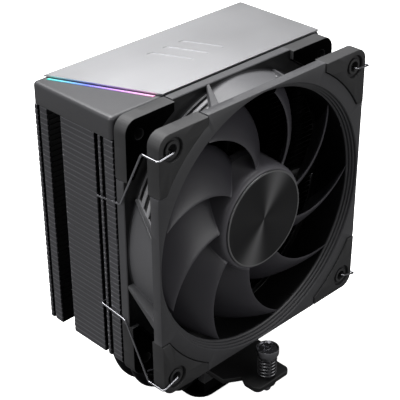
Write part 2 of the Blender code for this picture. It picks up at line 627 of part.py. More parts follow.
def build_fan_frame(mat):
    """Square frame: two cross-shaped flanges, duct with grooved corners, webs, tongues and motor mount."""
    edge = PAD_START - GAP
    ring = PAD_ARC - GAP
    reach = math.sqrt(ring ** 2 - edge ** 2)
    lean = math.degrees(math.atan2(edge, reach))
    corner = [(HALF_FAN, FAN_AXIS + edge)] + arc(ring, lean, 90 - lean, 4, (0, FAN_AXIS))
    corner.append((edge, FAN_AXIS + HALF_FAN))
    flange = [point for quarter in range(4) for point in corner_turn(corner, quarter)]
    tongue = square(HALF_FAN - PAD_RECESS - PAD_WALL - GAP, FAN_CORNER - PAD_WALL)
    centre = (0, FAN_AXIS)
    body = bmesh.new()
    prism(body, arc(DUCT_OUTER, 0, 351, 39, centre), depth(DUCT_SPAN[0]), depth(DUCT_SPAN[1]), "y")
    for (low, high), outline in ((MID_FRONT, flange), (MID_REAR, flange),
                                 (TONGUE_FRONT, tongue), (TONGUE_REAR, tongue)):
        layer = bmesh.new()
        prism(layer, outline, depth(low), depth(high), "y")
        body = combine(body, layer, "UNION")
    vents = bmesh.new()
    for quarter in range(4):
        for level in range(VENT_COUNT):
            first = 90 - VENT_FROM - level * VENT_TWIST
            near = arc(DUCT_INNER + VENT_FLOOR, first, first - VENT_SPAN, 8, centre)
            far = arc(DUCT_OUTER + 2 * MM, first - VENT_SPAN, first, 4, centre)
            low = depth(VENT_FIRST + level * VENT_PITCH)
            prism(vents, corner_turn(near + far, quarter), low, low + VENT_SLOT, "y")
    body = combine(body, vents, "DIFFERENCE")
    for quarter in range(4):
        for outline in web_outlines():
            web = bmesh.new()
            prism(web, outline, FAN_AXIS + HALF_FAN - WEB_BASE, FAN_AXIS + HALF_FAN - WEB_INSET)
            turn = Matrix.Rotation(-math.radians(90 * quarter), 4, "Y")
            bmesh.ops.rotate(web, verts=web.verts, cent=(0, 0, FAN_AXIS), matrix=turn)
            body = combine(body, web, "UNION")
    bore = bmesh.new()
    profile = [(0, -MM), (MOUTH_RADIUS, -MM), (MOUTH_RADIUS, 0.9 * MM),
               (MOUTH_RADIUS - 1.4 * MM, 2.0 * MM), (DUCT_INNER, 4.9 * MM),
               (DUCT_INNER, FAN_DEPTH - 4.2 * MM), (DUCT_OUTER, FAN_DEPTH - 0.4 * MM),
               (DUCT_OUTER, FAN_DEPTH + MM), (0, FAN_DEPTH + MM)]
    revolve(bore, [(radius, depth(height)) for radius, height in profile], 40, "y", centre)
    body = combine(body, bore, "DIFFERENCE")
    holes = bmesh.new()
    for x in (-HOLE_PITCH / 2, HOLE_PITCH / 2):
        for z in (-HOLE_PITCH / 2, HOLE_PITCH / 2):
            prism(holes, arc(HOLE_RADIUS, 0, 315, 7, (x, FAN_AXIS + z)),
                  depth(-MM), depth(FAN_DEPTH + MM), "y")
    body = combine(body, holes, "DIFFERENCE")
    mount = bmesh.new()
    prism(mount, arc(MOUNT_RADIUS, 0, 345, 23, centre), depth(MOUNT[0]), depth(MOUNT[1]), "y")
    for quarter in range(4):
        arm = bmesh.new()
        half = ARM_WIDTH / 2
        reach = DUCT_OUTER - 0.4 * MM
        bar = [(-half, FAN_AXIS + 16 * MM), (half, FAN_AXIS + 16 * MM),
               (half + 6 * MM, FAN_AXIS + reach), (-half + 6 * MM, FAN_AXIS + reach)]
        prism(arm, corner_turn(bar, quarter), depth(MOUNT[0] + 0.1 * MM), depth(MOUNT[1] - 0.1 * MM), "y")
        mount = combine(mount, arm, "UNION")
    body = combine(body, mount, "UNION")
    finish("fan_frame", body, mat)


def build_pads(mat):
    """Eight corner pads, each slotted to slip over a tongue of the frame."""
    names = ("top_right", "top_left", "bottom_left", "bottom_right")
    outer = HALF_FAN - PAD_RECESS
    reach = math.sqrt(PAD_ARC ** 2 - PAD_START ** 2)
    lean = math.degrees(math.atan2(PAD_START, reach))
    outline = [(PAD_START, FAN_AXIS + outer)]
    outline += arc(PAD_ARC, 90 - lean, lean, 4, (0, FAN_AXIS))
    outline.append((outer, FAN_AXIS + PAD_START))
    bend = FAN_CORNER - PAD_RECESS
    outline += arc(bend, 0, 90, 3, (outer - bend, FAN_AXIS + outer - bend))
    cut = outer - PAD_WALL
    slot = [(20 * MM, FAN_AXIS + 20 * MM), (cut, FAN_AXIS + 20 * MM)]
    slot += arc(bend - PAD_WALL, 0, 90, 3, (outer - bend, FAN_AXIS + outer - bend))
    slot.append((20 * MM, FAN_AXIS + cut))
    for side, (low, high), tongue in (("front", PAD_FRONT, TONGUE_FRONT), ("rear", PAD_REAR, TONGUE_REAR)):
        for quarter, corner in enumerate(names):
            bm = bmesh.new()
            prism(bm, corner_turn(outline, quarter), depth(low), depth(high), "y")
            tools = bmesh.new()
            prism(tools, corner_turn(slot, quarter), depth(tongue[0] - GAP), depth(tongue[1] + GAP), "y")
            bm = combine(bm, tools, "DIFFERENCE")
            centre = corner_turn([(HOLE_PITCH / 2, FAN_AXIS + HOLE_PITCH / 2)], quarter)[0]
            tools = bmesh.new()
            prism(tools, arc(HOLE_RADIUS, 0, 315, 7, centre), depth(-MM), depth(FAN_DEPTH + MM), "y")
            bm = combine(bm, tools, "DIFFERENCE")
            if side == "front":
                inner, rim, sink = PAD_DISH
                tools = bmesh.new()
                revolve(tools, [(inner, depth(-MM)), (rim, depth(-MM)), (rim, depth(sink)),
                                (inner, depth(sink))], 10, "y", centre)
                bm = combine(bm, tools, "DIFFERENCE")
            finish("%s_pad_%s" % (side, corner), bm, mat)


def blade(bm, phase):
    """Add one swept blade: a curved sheet with thickness, its root inside the hub wall."""
    radial, chordwise = 5, 4
    rows = []
    for i in range(radial):
        s = i / (radial - 1)
        radius = BLADE_ROOT + (BLADE_TIP - BLADE_ROOT) * s
        lead = phase - BLADE_SWEEP * (1 - s ** BLADE_CURVE)
        chord = CHORD_ROOT + (CHORD_TIP - CHORD_ROOT) * s
        front = EDGE_ROOT[0] + (EDGE_TIP[0] - EDGE_ROOT[0]) * s
        back = EDGE_ROOT[1] + (EDGE_TIP[1] - EDGE_ROOT[1]) * s
        row = []
        for j in range(chordwise):
            u = j / (chordwise - 1)
            angle = math.radians(lead - chord * u)
            y = depth(front + (back - front) * (0.8 * u + 0.2 * u * u))
            row.append(Vector((radius * math.cos(angle), y, FAN_AXIS + radius * math.sin(angle))))
        rows.append(row)
    faces = {}
    for i in range(radial):
        for j in range(chordwise):
            along = rows[min(i + 1, radial - 1)][j] - rows[max(i - 1, 0)][j]
            across = rows[i][min(j + 1, chordwise - 1)] - rows[i][max(j - 1, 0)]
            normal = along.cross(across).normalized()
            half = BLADE_THICK / 2 * (1.0 if 0 < j < chordwise - 1 else 0.5)
            for sign in (1, -1):
                faces[i, j, sign] = bm.verts.new(rows[i][j] + normal * half * sign)
    for sign in (1, -1):
        for i in range(radial - 1):
            for j in range(chordwise - 1):
                bm.faces.new([faces[i, j, sign], faces[i + 1, j, sign],
                              faces[i + 1, j + 1, sign], faces[i, j + 1, sign]][::sign])
    rim = [(i, 0) for i in range(radial)] + [(radial - 1, j) for j in range(1, chordwise)]
    rim += [(i, chordwise - 1) for i in range(radial - 2, -1, -1)]
    rim += [(0, j) for j in range(chordwise - 2, 0, -1)]
    for a, b in zip(rim, rim[1:] + rim[:1]):
        bm.faces.new([faces[(*b, 1)], faces[(*a, 1)], faces[(*a, -1)], faces[(*b, -1)]])


def ring_part(name, profile, segments, mat, origin=(0.0, 0.0, 0.0)):
    """Turned piece about the fan axis; profile heights are depths behind the fan's front."""
    bm = bmesh.new()
    revolve(bm, [(radius, depth(height)) for radius, height in profile], segments, "y", (0, FAN_AXIS))
    finish(name, bm, mat, origin)


def build_rotor(plastic, cap_metal, steel, magnet, shaft_metal):
    """Impeller with blades, its front disc, the yoke with magnets and the shaft."""
    hub = bmesh.new()
    inner = HUB_FACE + HUB_WEB
    profile = [(0, HUB_FACE), (HUB_RADIUS - 1.6 * MM, HUB_FACE), (HUB_RADIUS - 0.4 * MM, HUB_FACE + MM),
               (HUB_RADIUS, HUB_FACE + 3 * MM), (HUB_FLARE, HUB_BACK), (HUB_INNER, HUB_BACK),
               (HUB_INNER, inner), (0, inner)]
    revolve(hub, [(radius, depth(height)) for radius, height in profile], 30, "y", (0, FAN_AXIS))
    for number in range(BLADES):
        wing = bmesh.new()
        blade(wing, BLADE_PHASE + 360.0 * number / BLADES)
        hub = combine(hub, wing, "UNION")
    origin = (0.0, depth(HUB_FACE), FAN_AXIS)
    finish("impeller", hub, plastic, origin)
    back = HUB_FACE - GAP
    ring_part("hub_cap", [(0, back - CAP_THICK), (CAP_RADIUS - 0.4 * MM, back - CAP_THICK),
                          (CAP_RADIUS, back), (0, back)], 30, cap_metal, origin)
    outer = HUB_INNER - GAP
    front = inner + GAP
    ring_part("rotor_yoke", [(SHAFT_RADIUS + MM, front), (outer, front), (outer, HUB_BACK - MM),
                             (outer - YOKE_WALL, HUB_BACK - MM), (outer - YOKE_WALL, front + MM),
                             (SHAFT_RADIUS + MM, front + MM)], 18, steel, origin)
    rim = outer - YOKE_WALL - 2 * GAP
    ring_part("magnet_ring", [(rim, front + 1.6 * MM), (rim, HUB_BACK - 1.4 * MM),
                              (rim - MAGNET_WALL, HUB_BACK - 1.4 * MM),
                              (rim - MAGNET_WALL, front + 1.6 * MM)], 18, magnet, origin)
    ring_part("shaft", [(0, front), (SHAFT_RADIUS, front), (SHAFT_RADIUS, MOUNT[0] - 0.7 * MM),
                        (0, MOUNT[0] - 0.7 * MM)], 12, shaft_metal, origin)
    return rim - MAGNET_WALL - AIR_GAP, front


def build_motor(reach, front, brass, coil, board):
    """Bearing sleeve, four-pole stator and ring-shaped board, all standing on the motor mount."""
    bore = SHAFT_RADIUS + GAP
    ring_part("bearing", [(bore, front + 1.6 * MM), (BEARING_RADIUS, front + 1.6 * MM),
                          (BEARING_RADIUS, MOUNT[0] - GAP), (bore, MOUNT[0] - GAP)], 16, brass)
    pole, neck, core = 52.0, 3.2 * MM, 7.5 * MM
    outline = []
    for quarter in range(4):
        turn = 90 * quarter
        outline += arc(reach, turn - pole / 2 + 45, turn + pole / 2 + 45, 4)
        shoe = arc(reach - 2 * MM, turn + pole / 2 + 45, turn + pole / 2 + 45, 1)[0]
        outline.append(shoe)
        direction = Vector(arc(1.0, turn + 45, turn + 45, 1)[0])
        left = Vector((-direction.y, direction.x))
        outline.append(tuple(direction * (reach - 2.6 * MM) + left * neck))
        outline.append(arc(core, turn + 90, turn + 90, 1)[0])
        ahead = Vector(arc(1.0, turn + 135, turn + 135, 1)[0])
        outline.append(tuple(ahead * (reach - 2.6 * MM) - Vector((-ahead.y, ahead.x)) * neck))
        outline.append(arc(reach - 2 * MM, turn + 135 - pole / 2, turn + 135 - pole / 2, 1)[0])
    bm = bmesh.new()
    prism(bm, [(x, z + FAN_AXIS) for x, z in outline],
          depth(front + 2.4 * MM), depth(MOTOR_BOARD[0] - 2.2 * MM), "y")
    tool = bmesh.new()
    prism(tool, arc(BEARING_RADIUS + GAP, 0, 337.5, 15, (0, FAN_AXIS)), depth(0), depth(FAN_DEPTH), "y")
    finish("stator", combine(bm, tool, "DIFFERENCE"), coil)
    ring_part("motor_board", [(BEARING_RADIUS + GAP, MOTOR_BOARD[0]), (15 * MM, MOTOR_BOARD[0]),
                              (15 * MM, MOTOR_BOARD[1]), (BEARING_RADIUS + GAP, MOTOR_BOARD[1])],
              14, board)


def clip_path(sign):
    """Path of one wire clip, hooked in the front holes above and below."""
    hole = HOLE_PITCH / 2
    face = depth(-WIRE_FACE)
    notch_y = (GROOVE[0] + GROOVE[1]) / 2 + 0.1 * MM
    notch_x = FIN_HALF - WIRE_SINK
    lean_y = depth(PAD_FRONT[1] + 1.5 * MM)
    step_y = depth(PAD_REAR[0] + 3 * MM)
    high, low = hole - 0.6 * MM, 0.6 * MM - hole
    half = []
    for heights in ((high, high - MM, CLIP_STEP[0], CLIP_STEP[0] - CLIP_DROP),
                    (low, low - 2.7 * MM, CLIP_STEP[1], CLIP_STEP[1] + CLIP_DROP)):
        z_hole, z_front, z_step, z_run = (FAN_AXIS + z for z in heights)
        points = [(hole, depth(WIRE_INSERT), z_hole), (hole, face + 0.7 * MM, z_hole),
                  (hole + 0.7 * MM, face, z_hole), (WIRE_SIDE - 0.9 * MM, face, z_front),
                  (WIRE_SIDE, face + 0.9 * MM, z_front), (WIRE_SIDE, lean_y, z_front),
                  (WIRE_SIDE, step_y, z_step), (WIRE_SIDE, notch_y - 0.6 * MM, z_run),
                  (WIRE_SIDE - 0.6 * MM, notch_y, z_run), (notch_x + 0.5 * MM, notch_y, z_run),
                  (notch_x, notch_y, z_run - math.copysign(0.6 * MM, z_hole - FAN_AXIS))]
        half.append([(sign * x, y, z) for x, y, z in points])
    return half[0] + half[1][::-1]


def build_clips(mat):
    """The two wire clips, each turning about the upright line through its hooked ends."""
    for name, sign in (("left_fan_clip", -1), ("right_fan_clip", 1)):
        bm = bmesh.new()
        tube(bm, clip_path(sign), WIRE_RADIUS, 6)
        finish(name, bm, mat, (sign * HOLE_PITCH / 2, depth(-WIRE_FACE), FAN_AXIS))


def main():
    """Clear the scene and build every piece."""
    for obj in list(bpy.data.objects):
        bpy.data.objects.remove(obj, do_unlink=True)
    aluminium = material("fin_aluminium", (0.33, 0.33, 0.35), 0.42, 1.0)
    nickel = material("pipe_black_nickel", (0.20, 0.20, 0.21), 0.25, 1.0)
    base = material("plate_black_nickel", (0.16, 0.16, 0.17), 0.3, 1.0)
    block = material("block_aluminium", (0.34, 0.34, 0.36), 0.4, 1.0)
    black_steel = material("bar_black_steel", (0.10, 0.10, 0.11), 0.45, 0.6)
    bolt = material("bolt_black_steel", (0.16, 0.16, 0.17), 0.35, 0.8)
    bright = material("spring_steel", (0.80, 0.80, 0.82), 0.18, 1.0)
    screw = material("screw_steel", (0.30, 0.30, 0.32), 0.3, 0.9)
    cover = material("cover_dark", (0.40, 0.40, 0.42), 0.45, 0.2)
    plate = material("plate_satin", (0.80, 0.80, 0.83), 0.32, 1.0)
    guide = material("light_guide", (0.55, 0.60, 0.95), 0.25, 0.0)
    green = material("board_green", (0.05, 0.25, 0.15), 0.5, 0.0)
    frame = material("frame_grey", (0.36, 0.36, 0.39), 0.45, 0.1)
    rubber = material("pad_rubber", (0.17, 0.17, 0.18), 0.7, 0.0)
    plastic = material("blade_plastic", (0.22, 0.21, 0.25), 0.35, 0.0)
    cap = material("cap_spun_metal", (0.62, 0.62, 0.66), 0.25, 1.0)
    magnet = material("magnet_ferrite", (0.20, 0.19, 0.19), 0.7, 0.0)
    brass = material("bearing_brass", (0.75, 0.62, 0.35), 0.35, 1.0)
    coil = material("stator_coil", (0.62, 0.36, 0.22), 0.4, 0.8)
    build_fins(aluminium)
    build_pipes(nickel)
    build_base(base, block, black_steel, bolt)
    build_spring_screw("front", -SCREW_Y, screw, bright, bolt)
    build_spring_screw("rear", SCREW_Y, screw, bright, bolt)
    build_cover(cover, plate, guide, green)
    build_fan_frame(frame)
    build_pads(rubber)
    reach, front = build_rotor(plastic, cap, screw, magnet, bright)
    build_motor(reach, front, brass, coil, green)
    build_clips(bright)


main()
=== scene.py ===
"""Tower cooler for a processor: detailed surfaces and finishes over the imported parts."""
import math

import bmesh
import bpy
import numpy as np
from mathutils import Matrix, Vector


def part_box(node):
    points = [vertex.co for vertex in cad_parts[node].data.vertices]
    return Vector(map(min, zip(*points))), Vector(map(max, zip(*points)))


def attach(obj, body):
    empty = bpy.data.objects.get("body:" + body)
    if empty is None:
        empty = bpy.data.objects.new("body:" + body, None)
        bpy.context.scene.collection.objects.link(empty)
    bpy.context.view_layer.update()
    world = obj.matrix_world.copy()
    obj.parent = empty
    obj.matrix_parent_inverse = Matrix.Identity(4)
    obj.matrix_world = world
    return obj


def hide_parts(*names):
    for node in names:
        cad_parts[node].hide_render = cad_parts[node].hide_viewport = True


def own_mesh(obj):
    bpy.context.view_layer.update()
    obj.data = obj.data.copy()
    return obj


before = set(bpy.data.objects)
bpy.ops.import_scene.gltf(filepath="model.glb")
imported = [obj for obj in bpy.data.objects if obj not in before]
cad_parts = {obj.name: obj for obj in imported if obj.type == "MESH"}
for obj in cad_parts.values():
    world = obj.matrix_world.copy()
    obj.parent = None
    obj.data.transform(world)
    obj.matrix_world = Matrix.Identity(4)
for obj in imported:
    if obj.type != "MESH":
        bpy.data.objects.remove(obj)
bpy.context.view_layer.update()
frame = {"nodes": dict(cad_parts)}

bl_info = {
    "name": "Tower Cooler",
    "version": (1, 0, 0),
    "blender": (4, 5, 0),
    "location": "View3D > Sidebar > Cooler",
    "description": "Builds the detailed surfaces of a tower cooler over its packed parts",
    "category": "Object",
}

MM = 0.001
TAU = math.tau

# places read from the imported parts
PAD_LOW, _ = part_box("front_pad_top_left")
FRAME_LOW, FRAME_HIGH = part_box("fan_frame")
FIN_LOW, FIN_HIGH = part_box("fin_stack")
COVER_LOW, COVER_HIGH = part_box("cover_frame")
GUIDE_LOW, GUIDE_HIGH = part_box("light_guide")
BAR_LOW, BAR_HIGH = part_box("crossbar")
SCREW_LOW, SCREW_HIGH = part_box("front_spring_screw")
SPRING_LOW, SPRING_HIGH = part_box("front_spring")
FRONT = PAD_LOW.y
AXIS = (FRAME_LOW.z + FRAME_HIGH.z) / 2
HALF = FRAME_HIGH.x
SCREW_Y = (SCREW_LOW.y + SCREW_HIGH.y) / 2

# fan: distances from its axis, and depths behind its front
HOLE_REACH = 52.5 * MM
DUCT_INNER = 56.5 * MM
DUCT_WALL = 57.3 * MM
RIB_OUTER = 58.2 * MM
PANEL_OUTER = 58.45 * MM
FLANGE_BACK = 5.3 * MM
REAR_FLANGE = 20.0 * MM
REAR_PAD = 18.3 * MM
DISC_RIM = 20.9 * MM
HUB_SIDE = 24.6 * MM
BLADE_COUNT = 9

# fins and pipes
FIN_COUNT = 44
FIN_THICK = 0.4 * MM
FIN_PITCH = (FIN_HIGH.z - FIN_THICK - FIN_LOW.z) / (FIN_COUNT - 1)
FOLD_HEIGHT = 2.32 * MM
FIN_SIDE = 59.0 * MM
PIPE_RADIUS = 3.0 * MM
PIPE_TOP = 151.5 * MM
PIPE_COUNT = 4

# spring screws
SPRING_RADIUS = 3.9 * MM
SPRING_WIRE = 0.5 * MM
SPRING_TURNS = 5


# ---------------------------------------------------------------- surfaces

def loft(rings, closed=False):
    """Skin through rings of points: rings[i, j] is point j of ring i, each ring closes on itself.
    The ends are flat caps, or the last ring joins the first when closed."""
    rings = np.asarray(rings, float)
    n, m = rings.shape[:2]
    i, j = np.meshgrid(np.arange(n if closed else n - 1), np.arange(m), indexing="ij")
    i, j = i.ravel(), j.ravel()
    after, beside = (i + 1) % n, (j + 1) % m
    quads = np.stack([i * m + j, i * m + beside, after * m + beside, after * m + j], 1)
    caps = [] if closed else [np.arange(m)[::-1], np.arange(m) + (n - 1) * m]
    return rings.reshape(-1, 3), list(quads) + caps


def spun(radius, height, centre, axis, steps=96):
    """Surface of revolution: the profile (radius, height) turned round an axis through centre.
    A profile point at radius 0 becomes a pole. axis 'y' counts height along +Y, 'z' along +Z."""
    radius, height = np.asarray(radius, float), np.asarray(height, float)
    angle = np.arange(steps) * TAU / steps
    u = radius[:, None] * np.cos(angle)
    v = radius[:, None] * np.sin(angle)
    w = np.repeat(height[:, None], steps, 1)
    if axis == "y":
        grid = np.stack([u + centre[0], w, v + centre[1]], -1)
    else:
        grid = np.stack([u + centre[0], v + centre[1], w], -1)
    return loft(grid, closed=True)


def swept(path, radius, sides=16):
    """Round bar along a path: every ring is a circle square to the path, and the circle's start
    is carried from ring to ring without twist. radius may change along the path."""
    path = np.asarray(path, float)
    radius = np.broadcast_to(np.asarray(radius, float), len(path))
    ahead = np.gradient(path, axis=0)
    ahead /= np.linalg.norm(ahead, axis=1)[:, None]
    side = np.zeros_like(path)
    start = np.cross(ahead[0], [0.31, 0.22, 0.93])
    side[0] = start / np.linalg.norm(start)
    for k in range(1, len(path)):
        across = side[k - 1] - ahead[k] * np.dot(side[k - 1], ahead[k])
        side[k] = across / np.linalg.norm(across)
    other = np.cross(ahead, side)
    angle = np.arange(sides) * TAU / sides
    rings = (path[:, None] + radius[:, None, None] * (
        side[:, None] * np.cos(angle)[None, :, None] + other[:, None] * np.sin(angle)[None, :, None]))
    return loft(rings)


def smooth_path(points, bend, steps=6):
    """Polyline with each inner corner replaced by an arc-like curve that starts bend before it."""
    points = [np.asarray(p, float) for p in points]
    out = [points[0]]
    t = np.linspace(0, 1, steps + 1)[:, None]
    for before, corner, after in zip(points, points[1:], points[2:]):
        into, away = before - corner, after - corner
        a = corner + into / np.linalg.norm(into) * min(bend, np.linalg.norm(into) * 0.48)
        b = corner + away / np.linalg.norm(away) * min(bend, np.linalg.norm(away) * 0.48)
        out.extend(a * (1 - t) ** 2 + corner * 2 * t * (1 - t) + b * t ** 2)
    out.append(points[-1])
    return np.array(out)


def merged(*shapes):
    """Several surfaces as one list of points and faces."""
    points, faces, base = [], [], 0
    for p, f in shapes:
        points.append(p)
        faces.extend(np.asarray(face) + base for face in f)
        base += len(p)
    return np.vstack(points), faces


def rounded_outline(half_x, half_y, radius, per_corner=8, centre=(0.0, 0.0)):
    """Rectangle with rounded corners, counterclockwise: four quarter circles joined by straights."""
    t = np.linspace(0, math.pi / 2, per_corner)
    out = []
    for k, (sx, sy) in enumerate(((1, 1), (-1, 1), (-1, -1), (1, -1))):
        a = t + k * math.pi / 2
        out.append(np.stack([sx * (half_x - radius) + radius * np.cos(a) + centre[0],
                             sy * (half_y - radius) + radius * np.sin(a) + centre[1]], 1))
    return np.vstack(out)


def inset(outline, amount):
    """Outline moved inwards by amount along the mean of the two edge normals at each point."""
    outline = np.asarray(outline, float)
    before = outline - np.roll(outline, 1, 0)
    after = np.roll(outline, -1, 0) - outline
    n1 = np.stack([-before[:, 1], before[:, 0]], 1)
    n2 = np.stack([-after[:, 1], after[:, 0]], 1)
    n1 /= np.linalg.norm(n1, axis=1)[:, None] + 1e-12
    n2 /= np.linalg.norm(n2, axis=1)[:, None] + 1e-12
    normal = n1 + n2
    normal /= np.maximum((normal * n1).sum(1), 0.3)[:, None]
    return outline + normal * amount


def plate(outline, low, high, edge, axis="z", steps=3):
    """Flat plate: the outline between two heights, its edges rounded by a quarter circle of size edge."""
    t = np.linspace(0, math.pi / 2, steps + 1)
    insets = np.concatenate([edge * (1 - np.sin(t)), edge * (1 - np.cos(t))])
    heights = np.concatenate([low + edge * (1 - np.cos(t)), high - edge * (1 - np.sin(t))])
    rings = []
    for depth, height in zip(insets, heights):
        flat = inset(outline, depth)
        column = np.full(len(flat), height)
        order = {"z": (flat[:, 0], flat[:, 1], column), "y": (flat[:, 0], column, flat[:, 1]),
                 "x": (column, flat[:, 0], flat[:, 1])}[axis]
        rings.append(np.stack(order, 1))
    return loft(rings)


def piece(name, shape, material, body, replaced=(), sharp=40.0):
    """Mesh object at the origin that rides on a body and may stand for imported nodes."""
    points, faces = shape
    mesh = bpy.data.meshes.new(name)
    mesh.from_pydata(np.asarray(points).tolist(), [], [face.tolist() for face in faces])
    mesh.validate()
    mesh.shade_smooth()
    obj = bpy.data.objects.new(name, mesh)
    bpy.context.scene.collection.objects.link(obj)
    turn_outwards(mesh)
    mesh.set_sharp_from_angle(angle=math.radians(sharp))
    mesh.materials.append(material)
    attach(obj, body)
    if replaced:
        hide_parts(*replaced)
    return obj


def turn_outwards(mesh):
    """Merge doubled points and turn every closed shell's faces outwards."""
    work = bmesh.new()
    work.from_mesh(mesh)
    bmesh.ops.remove_doubles(work, verts=work.verts, dist=1e-7)
    bmesh.ops.recalc_face_normals(work, faces=work.faces)
    work.to_mesh(mesh)
    work.free()


# ---------------------------------------------------------------- finishes

def linear(colour):
    """Linear light values of a display colour."""
    return [c / 12.92 if c <= 0.04045 else ((c + 0.055) / 1.055) ** 2.4 for c in colour]


def new_group(name, inputs, outputs):
    """Empty shader node group with float inputs and the given outputs."""
    group = bpy.data.node_groups.new(name, "ShaderNodeTree")
    for label, value in inputs:
        socket = group.interface.new_socket(label, in_out="INPUT", socket_type="NodeSocketFloat")
        socket.default_value = value
    for label in outputs:
        group.interface.new_socket(label, in_out="OUTPUT", socket_type="NodeSocketFloat")
    return group, group.nodes.new("NodeGroupInput"), group.nodes.new("NodeGroupOutput")


def maths(tree, operation, first, second=None, third=None):
    """Math node on sockets or numbers; returns its output."""
    node = tree.nodes.new("ShaderNodeMath")
    node.operation = operation
    for socket, value in zip(node.inputs, (first, second, third)):
        if value is None:
            continue
        if isinstance(value, (int, float)):
            socket.default_value = value
        else:
            tree.links.new(value, socket)
    return node.outputs[0]


def noise(tree, scale, detail=3.0, stretch=None):
    """Noise on Object coordinates, stretched by a Mapping node when asked; returns its value output."""
    place = tree.nodes.new("ShaderNodeTexCoord")
    out = place.outputs["Object"]
    if stretch:
        mapping = tree.nodes.new("ShaderNodeMapping")
        mapping.inputs["Scale"].default_value = stretch
        tree.links.new(out, mapping.inputs["Vector"])
        out = mapping.outputs[0]
    node = tree.nodes.new("ShaderNodeTexNoise")
    if isinstance(scale, (int, float)):
        node.inputs["Scale"].default_value = scale
    else:
        tree.links.new(scale, node.inputs["Scale"])
    node.inputs["Detail"].default_value = detail
    tree.links.new(out, node.inputs["Vector"])
    return node.outputs["Fac"]


def make_mould_grain():
    """Fine spark-eroded texture of moulded plastic: a height and a slow tone change."""
    group, given, out = new_group("mould_grain", [("Grain", 2600.0), ("Cloud", 45.0)], ["Height", "Tone"])
    fine = noise(group, given.outputs["Grain"], 2.0)
    slow = noise(group, given.outputs["Cloud"], 3.0)
    group.links.new(fine, out.inputs["Height"])
    group.links.new(slow, out.inputs["Tone"])
    return group


def make_brushing():
    """Long fine scratches of brushed or rolled sheet: noise drawn out along X."""
    group, given, out = new_group("brushing", [("Grain", 1.0)], ["Height", "Tone"])
    lines = noise(group, 60.0, 4.0, (0.6, 40.0, 40.0))
    broad = noise(group, 30.0, 2.0)
    group.links.new(maths(group, "MULTIPLY", lines, given.outputs["Grain"]), out.inputs["Height"])
    group.links.new(maths(group, "MULTIPLY_ADD", lines, 0.6, maths(group, "MULTIPLY", broad, 0.4)),
                    out.inputs["Tone"])
    return group


def make_painted_edge_highlight():
    """Mask of a painted highlight that rises where the surface bends sharply outwards, broken up by noise."""
    group, given, out = new_group("edge_wear", [("Low", 0.515), ("High", 0.58)], ["Mask"])
    bend = group.nodes.new("ShaderNodeNewGeometry").outputs["Pointiness"]
    span = group.nodes.new("ShaderNodeMapRange")
    group.links.new(bend, span.inputs["Value"])
    group.links.new(given.outputs["Low"], span.inputs["From Min"])
    group.links.new(given.outputs["High"], span.inputs["From Max"])
    broken = maths(group, "MULTIPLY_ADD", noise(group, 400.0, 2.0), 0.5, 0.6)
    group.links.new(maths(group, "MULTIPLY", span.outputs[0], broken), out.inputs["Mask"])
    return group


class Finish:
    """Principled material under construction: base values plus pattern sockets."""

    def __init__(self, name, colour, roughness, metallic=0.0, specular=0.5):
        self.material = bpy.data.materials.new(name)
        self.material.use_nodes = True
        self.tree = self.material.node_tree
        self.shader = self.tree.nodes["Principled BSDF"]
        self.colour = linear(colour)
        self.rough = roughness
        self.shader.inputs["Base Color"].default_value = (*self.colour, 1.0)
        self.shader.inputs["Roughness"].default_value = roughness
        self.shader.inputs["Metallic"].default_value = metallic
        self.shader.inputs["Specular IOR Level"].default_value = specular

    def group(self, group, **values):
        """Place a shared node group with its own values."""
        node = self.tree.nodes.new("ShaderNodeGroup")
        node.node_tree = group
        for label, value in values.items():
            node.inputs[label].default_value = value
        return node

    def tint(self, factor, other, strength=1.0):
        """Mix the base colour towards another by a mask."""
        mix = self.tree.nodes.new("ShaderNodeMix")
        mix.data_type = "RGBA"
        base = self.shader.inputs["Base Color"]
        if base.is_linked:
            self.tree.links.new(base.links[0].from_socket, mix.inputs["A"])
        else:
            mix.inputs["A"].default_value = (*self.colour, 1.0)
        mix.inputs["B"].default_value = (*linear(other), 1.0)
        self.tree.links.new(maths(self.tree, "MULTIPLY", factor, strength), mix.inputs["Factor"])
        self.tree.links.new(mix.outputs["Result"], base)

    def roughen(self, value, amount):
        """Roughness swings by amount about its base as value runs from 0 to 1."""
        swing = maths(self.tree, "MULTIPLY_ADD", value, amount, self.rough - amount / 2)
        self.tree.links.new(swing, self.shader.inputs["Roughness"])

    def bump(self, height, distance, strength=1.0):
        """Relief of the given height pattern."""
        node = self.tree.nodes.new("ShaderNodeBump")
        node.inputs["Distance"].default_value = distance
        node.inputs["Strength"].default_value = strength
        self.tree.links.new(height, node.inputs["Height"])
        self.tree.links.new(node.outputs[0], self.shader.inputs["Normal"])


def moulded_look(name, colour, roughness, groups, light=0.06, grain=2600.0, highlight_amount=0.25):
    """Moulded plastic: fine grain, slow tone change, and edges made paler by a painted highlight."""
    look = Finish(name, colour, roughness)
    skin = look.group(groups["mould_grain"], Grain=grain)
    look.tint(skin.outputs["Tone"], [c + light for c in colour], 0.8)
    # painted highlight: sharply bent edges tinted paler
    edge = look.group(groups["edge_wear"])
    look.tint(edge.outputs["Mask"], [min(c + 0.22, 1) for c in colour], highlight_amount)
    look.roughen(skin.outputs["Tone"], 0.12)
    look.bump(skin.outputs["Height"], 0.00003, 0.5)
    return look


def moulded(*values):
    """Material of plain moulded plastic."""
    return moulded_look(*values).material


def brushed_look(name, colour, roughness, groups, light=0.08, metallic=1.0, depth=0.00002):
    """Metal with drawn-out scratches."""
    look = Finish(name, colour, roughness, metallic)
    lines = look.group(groups["brushing"])
    look.tint(lines.outputs["Tone"], [min(c + light, 1) for c in colour], 0.9)
    look.roughen(lines.outputs["Tone"], 0.14)
    look.bump(lines.outputs["Height"], depth, 0.5)
    return look


def brushed(*values):
    """Material of plain drawn or rolled metal."""
    return brushed_look(*values).material


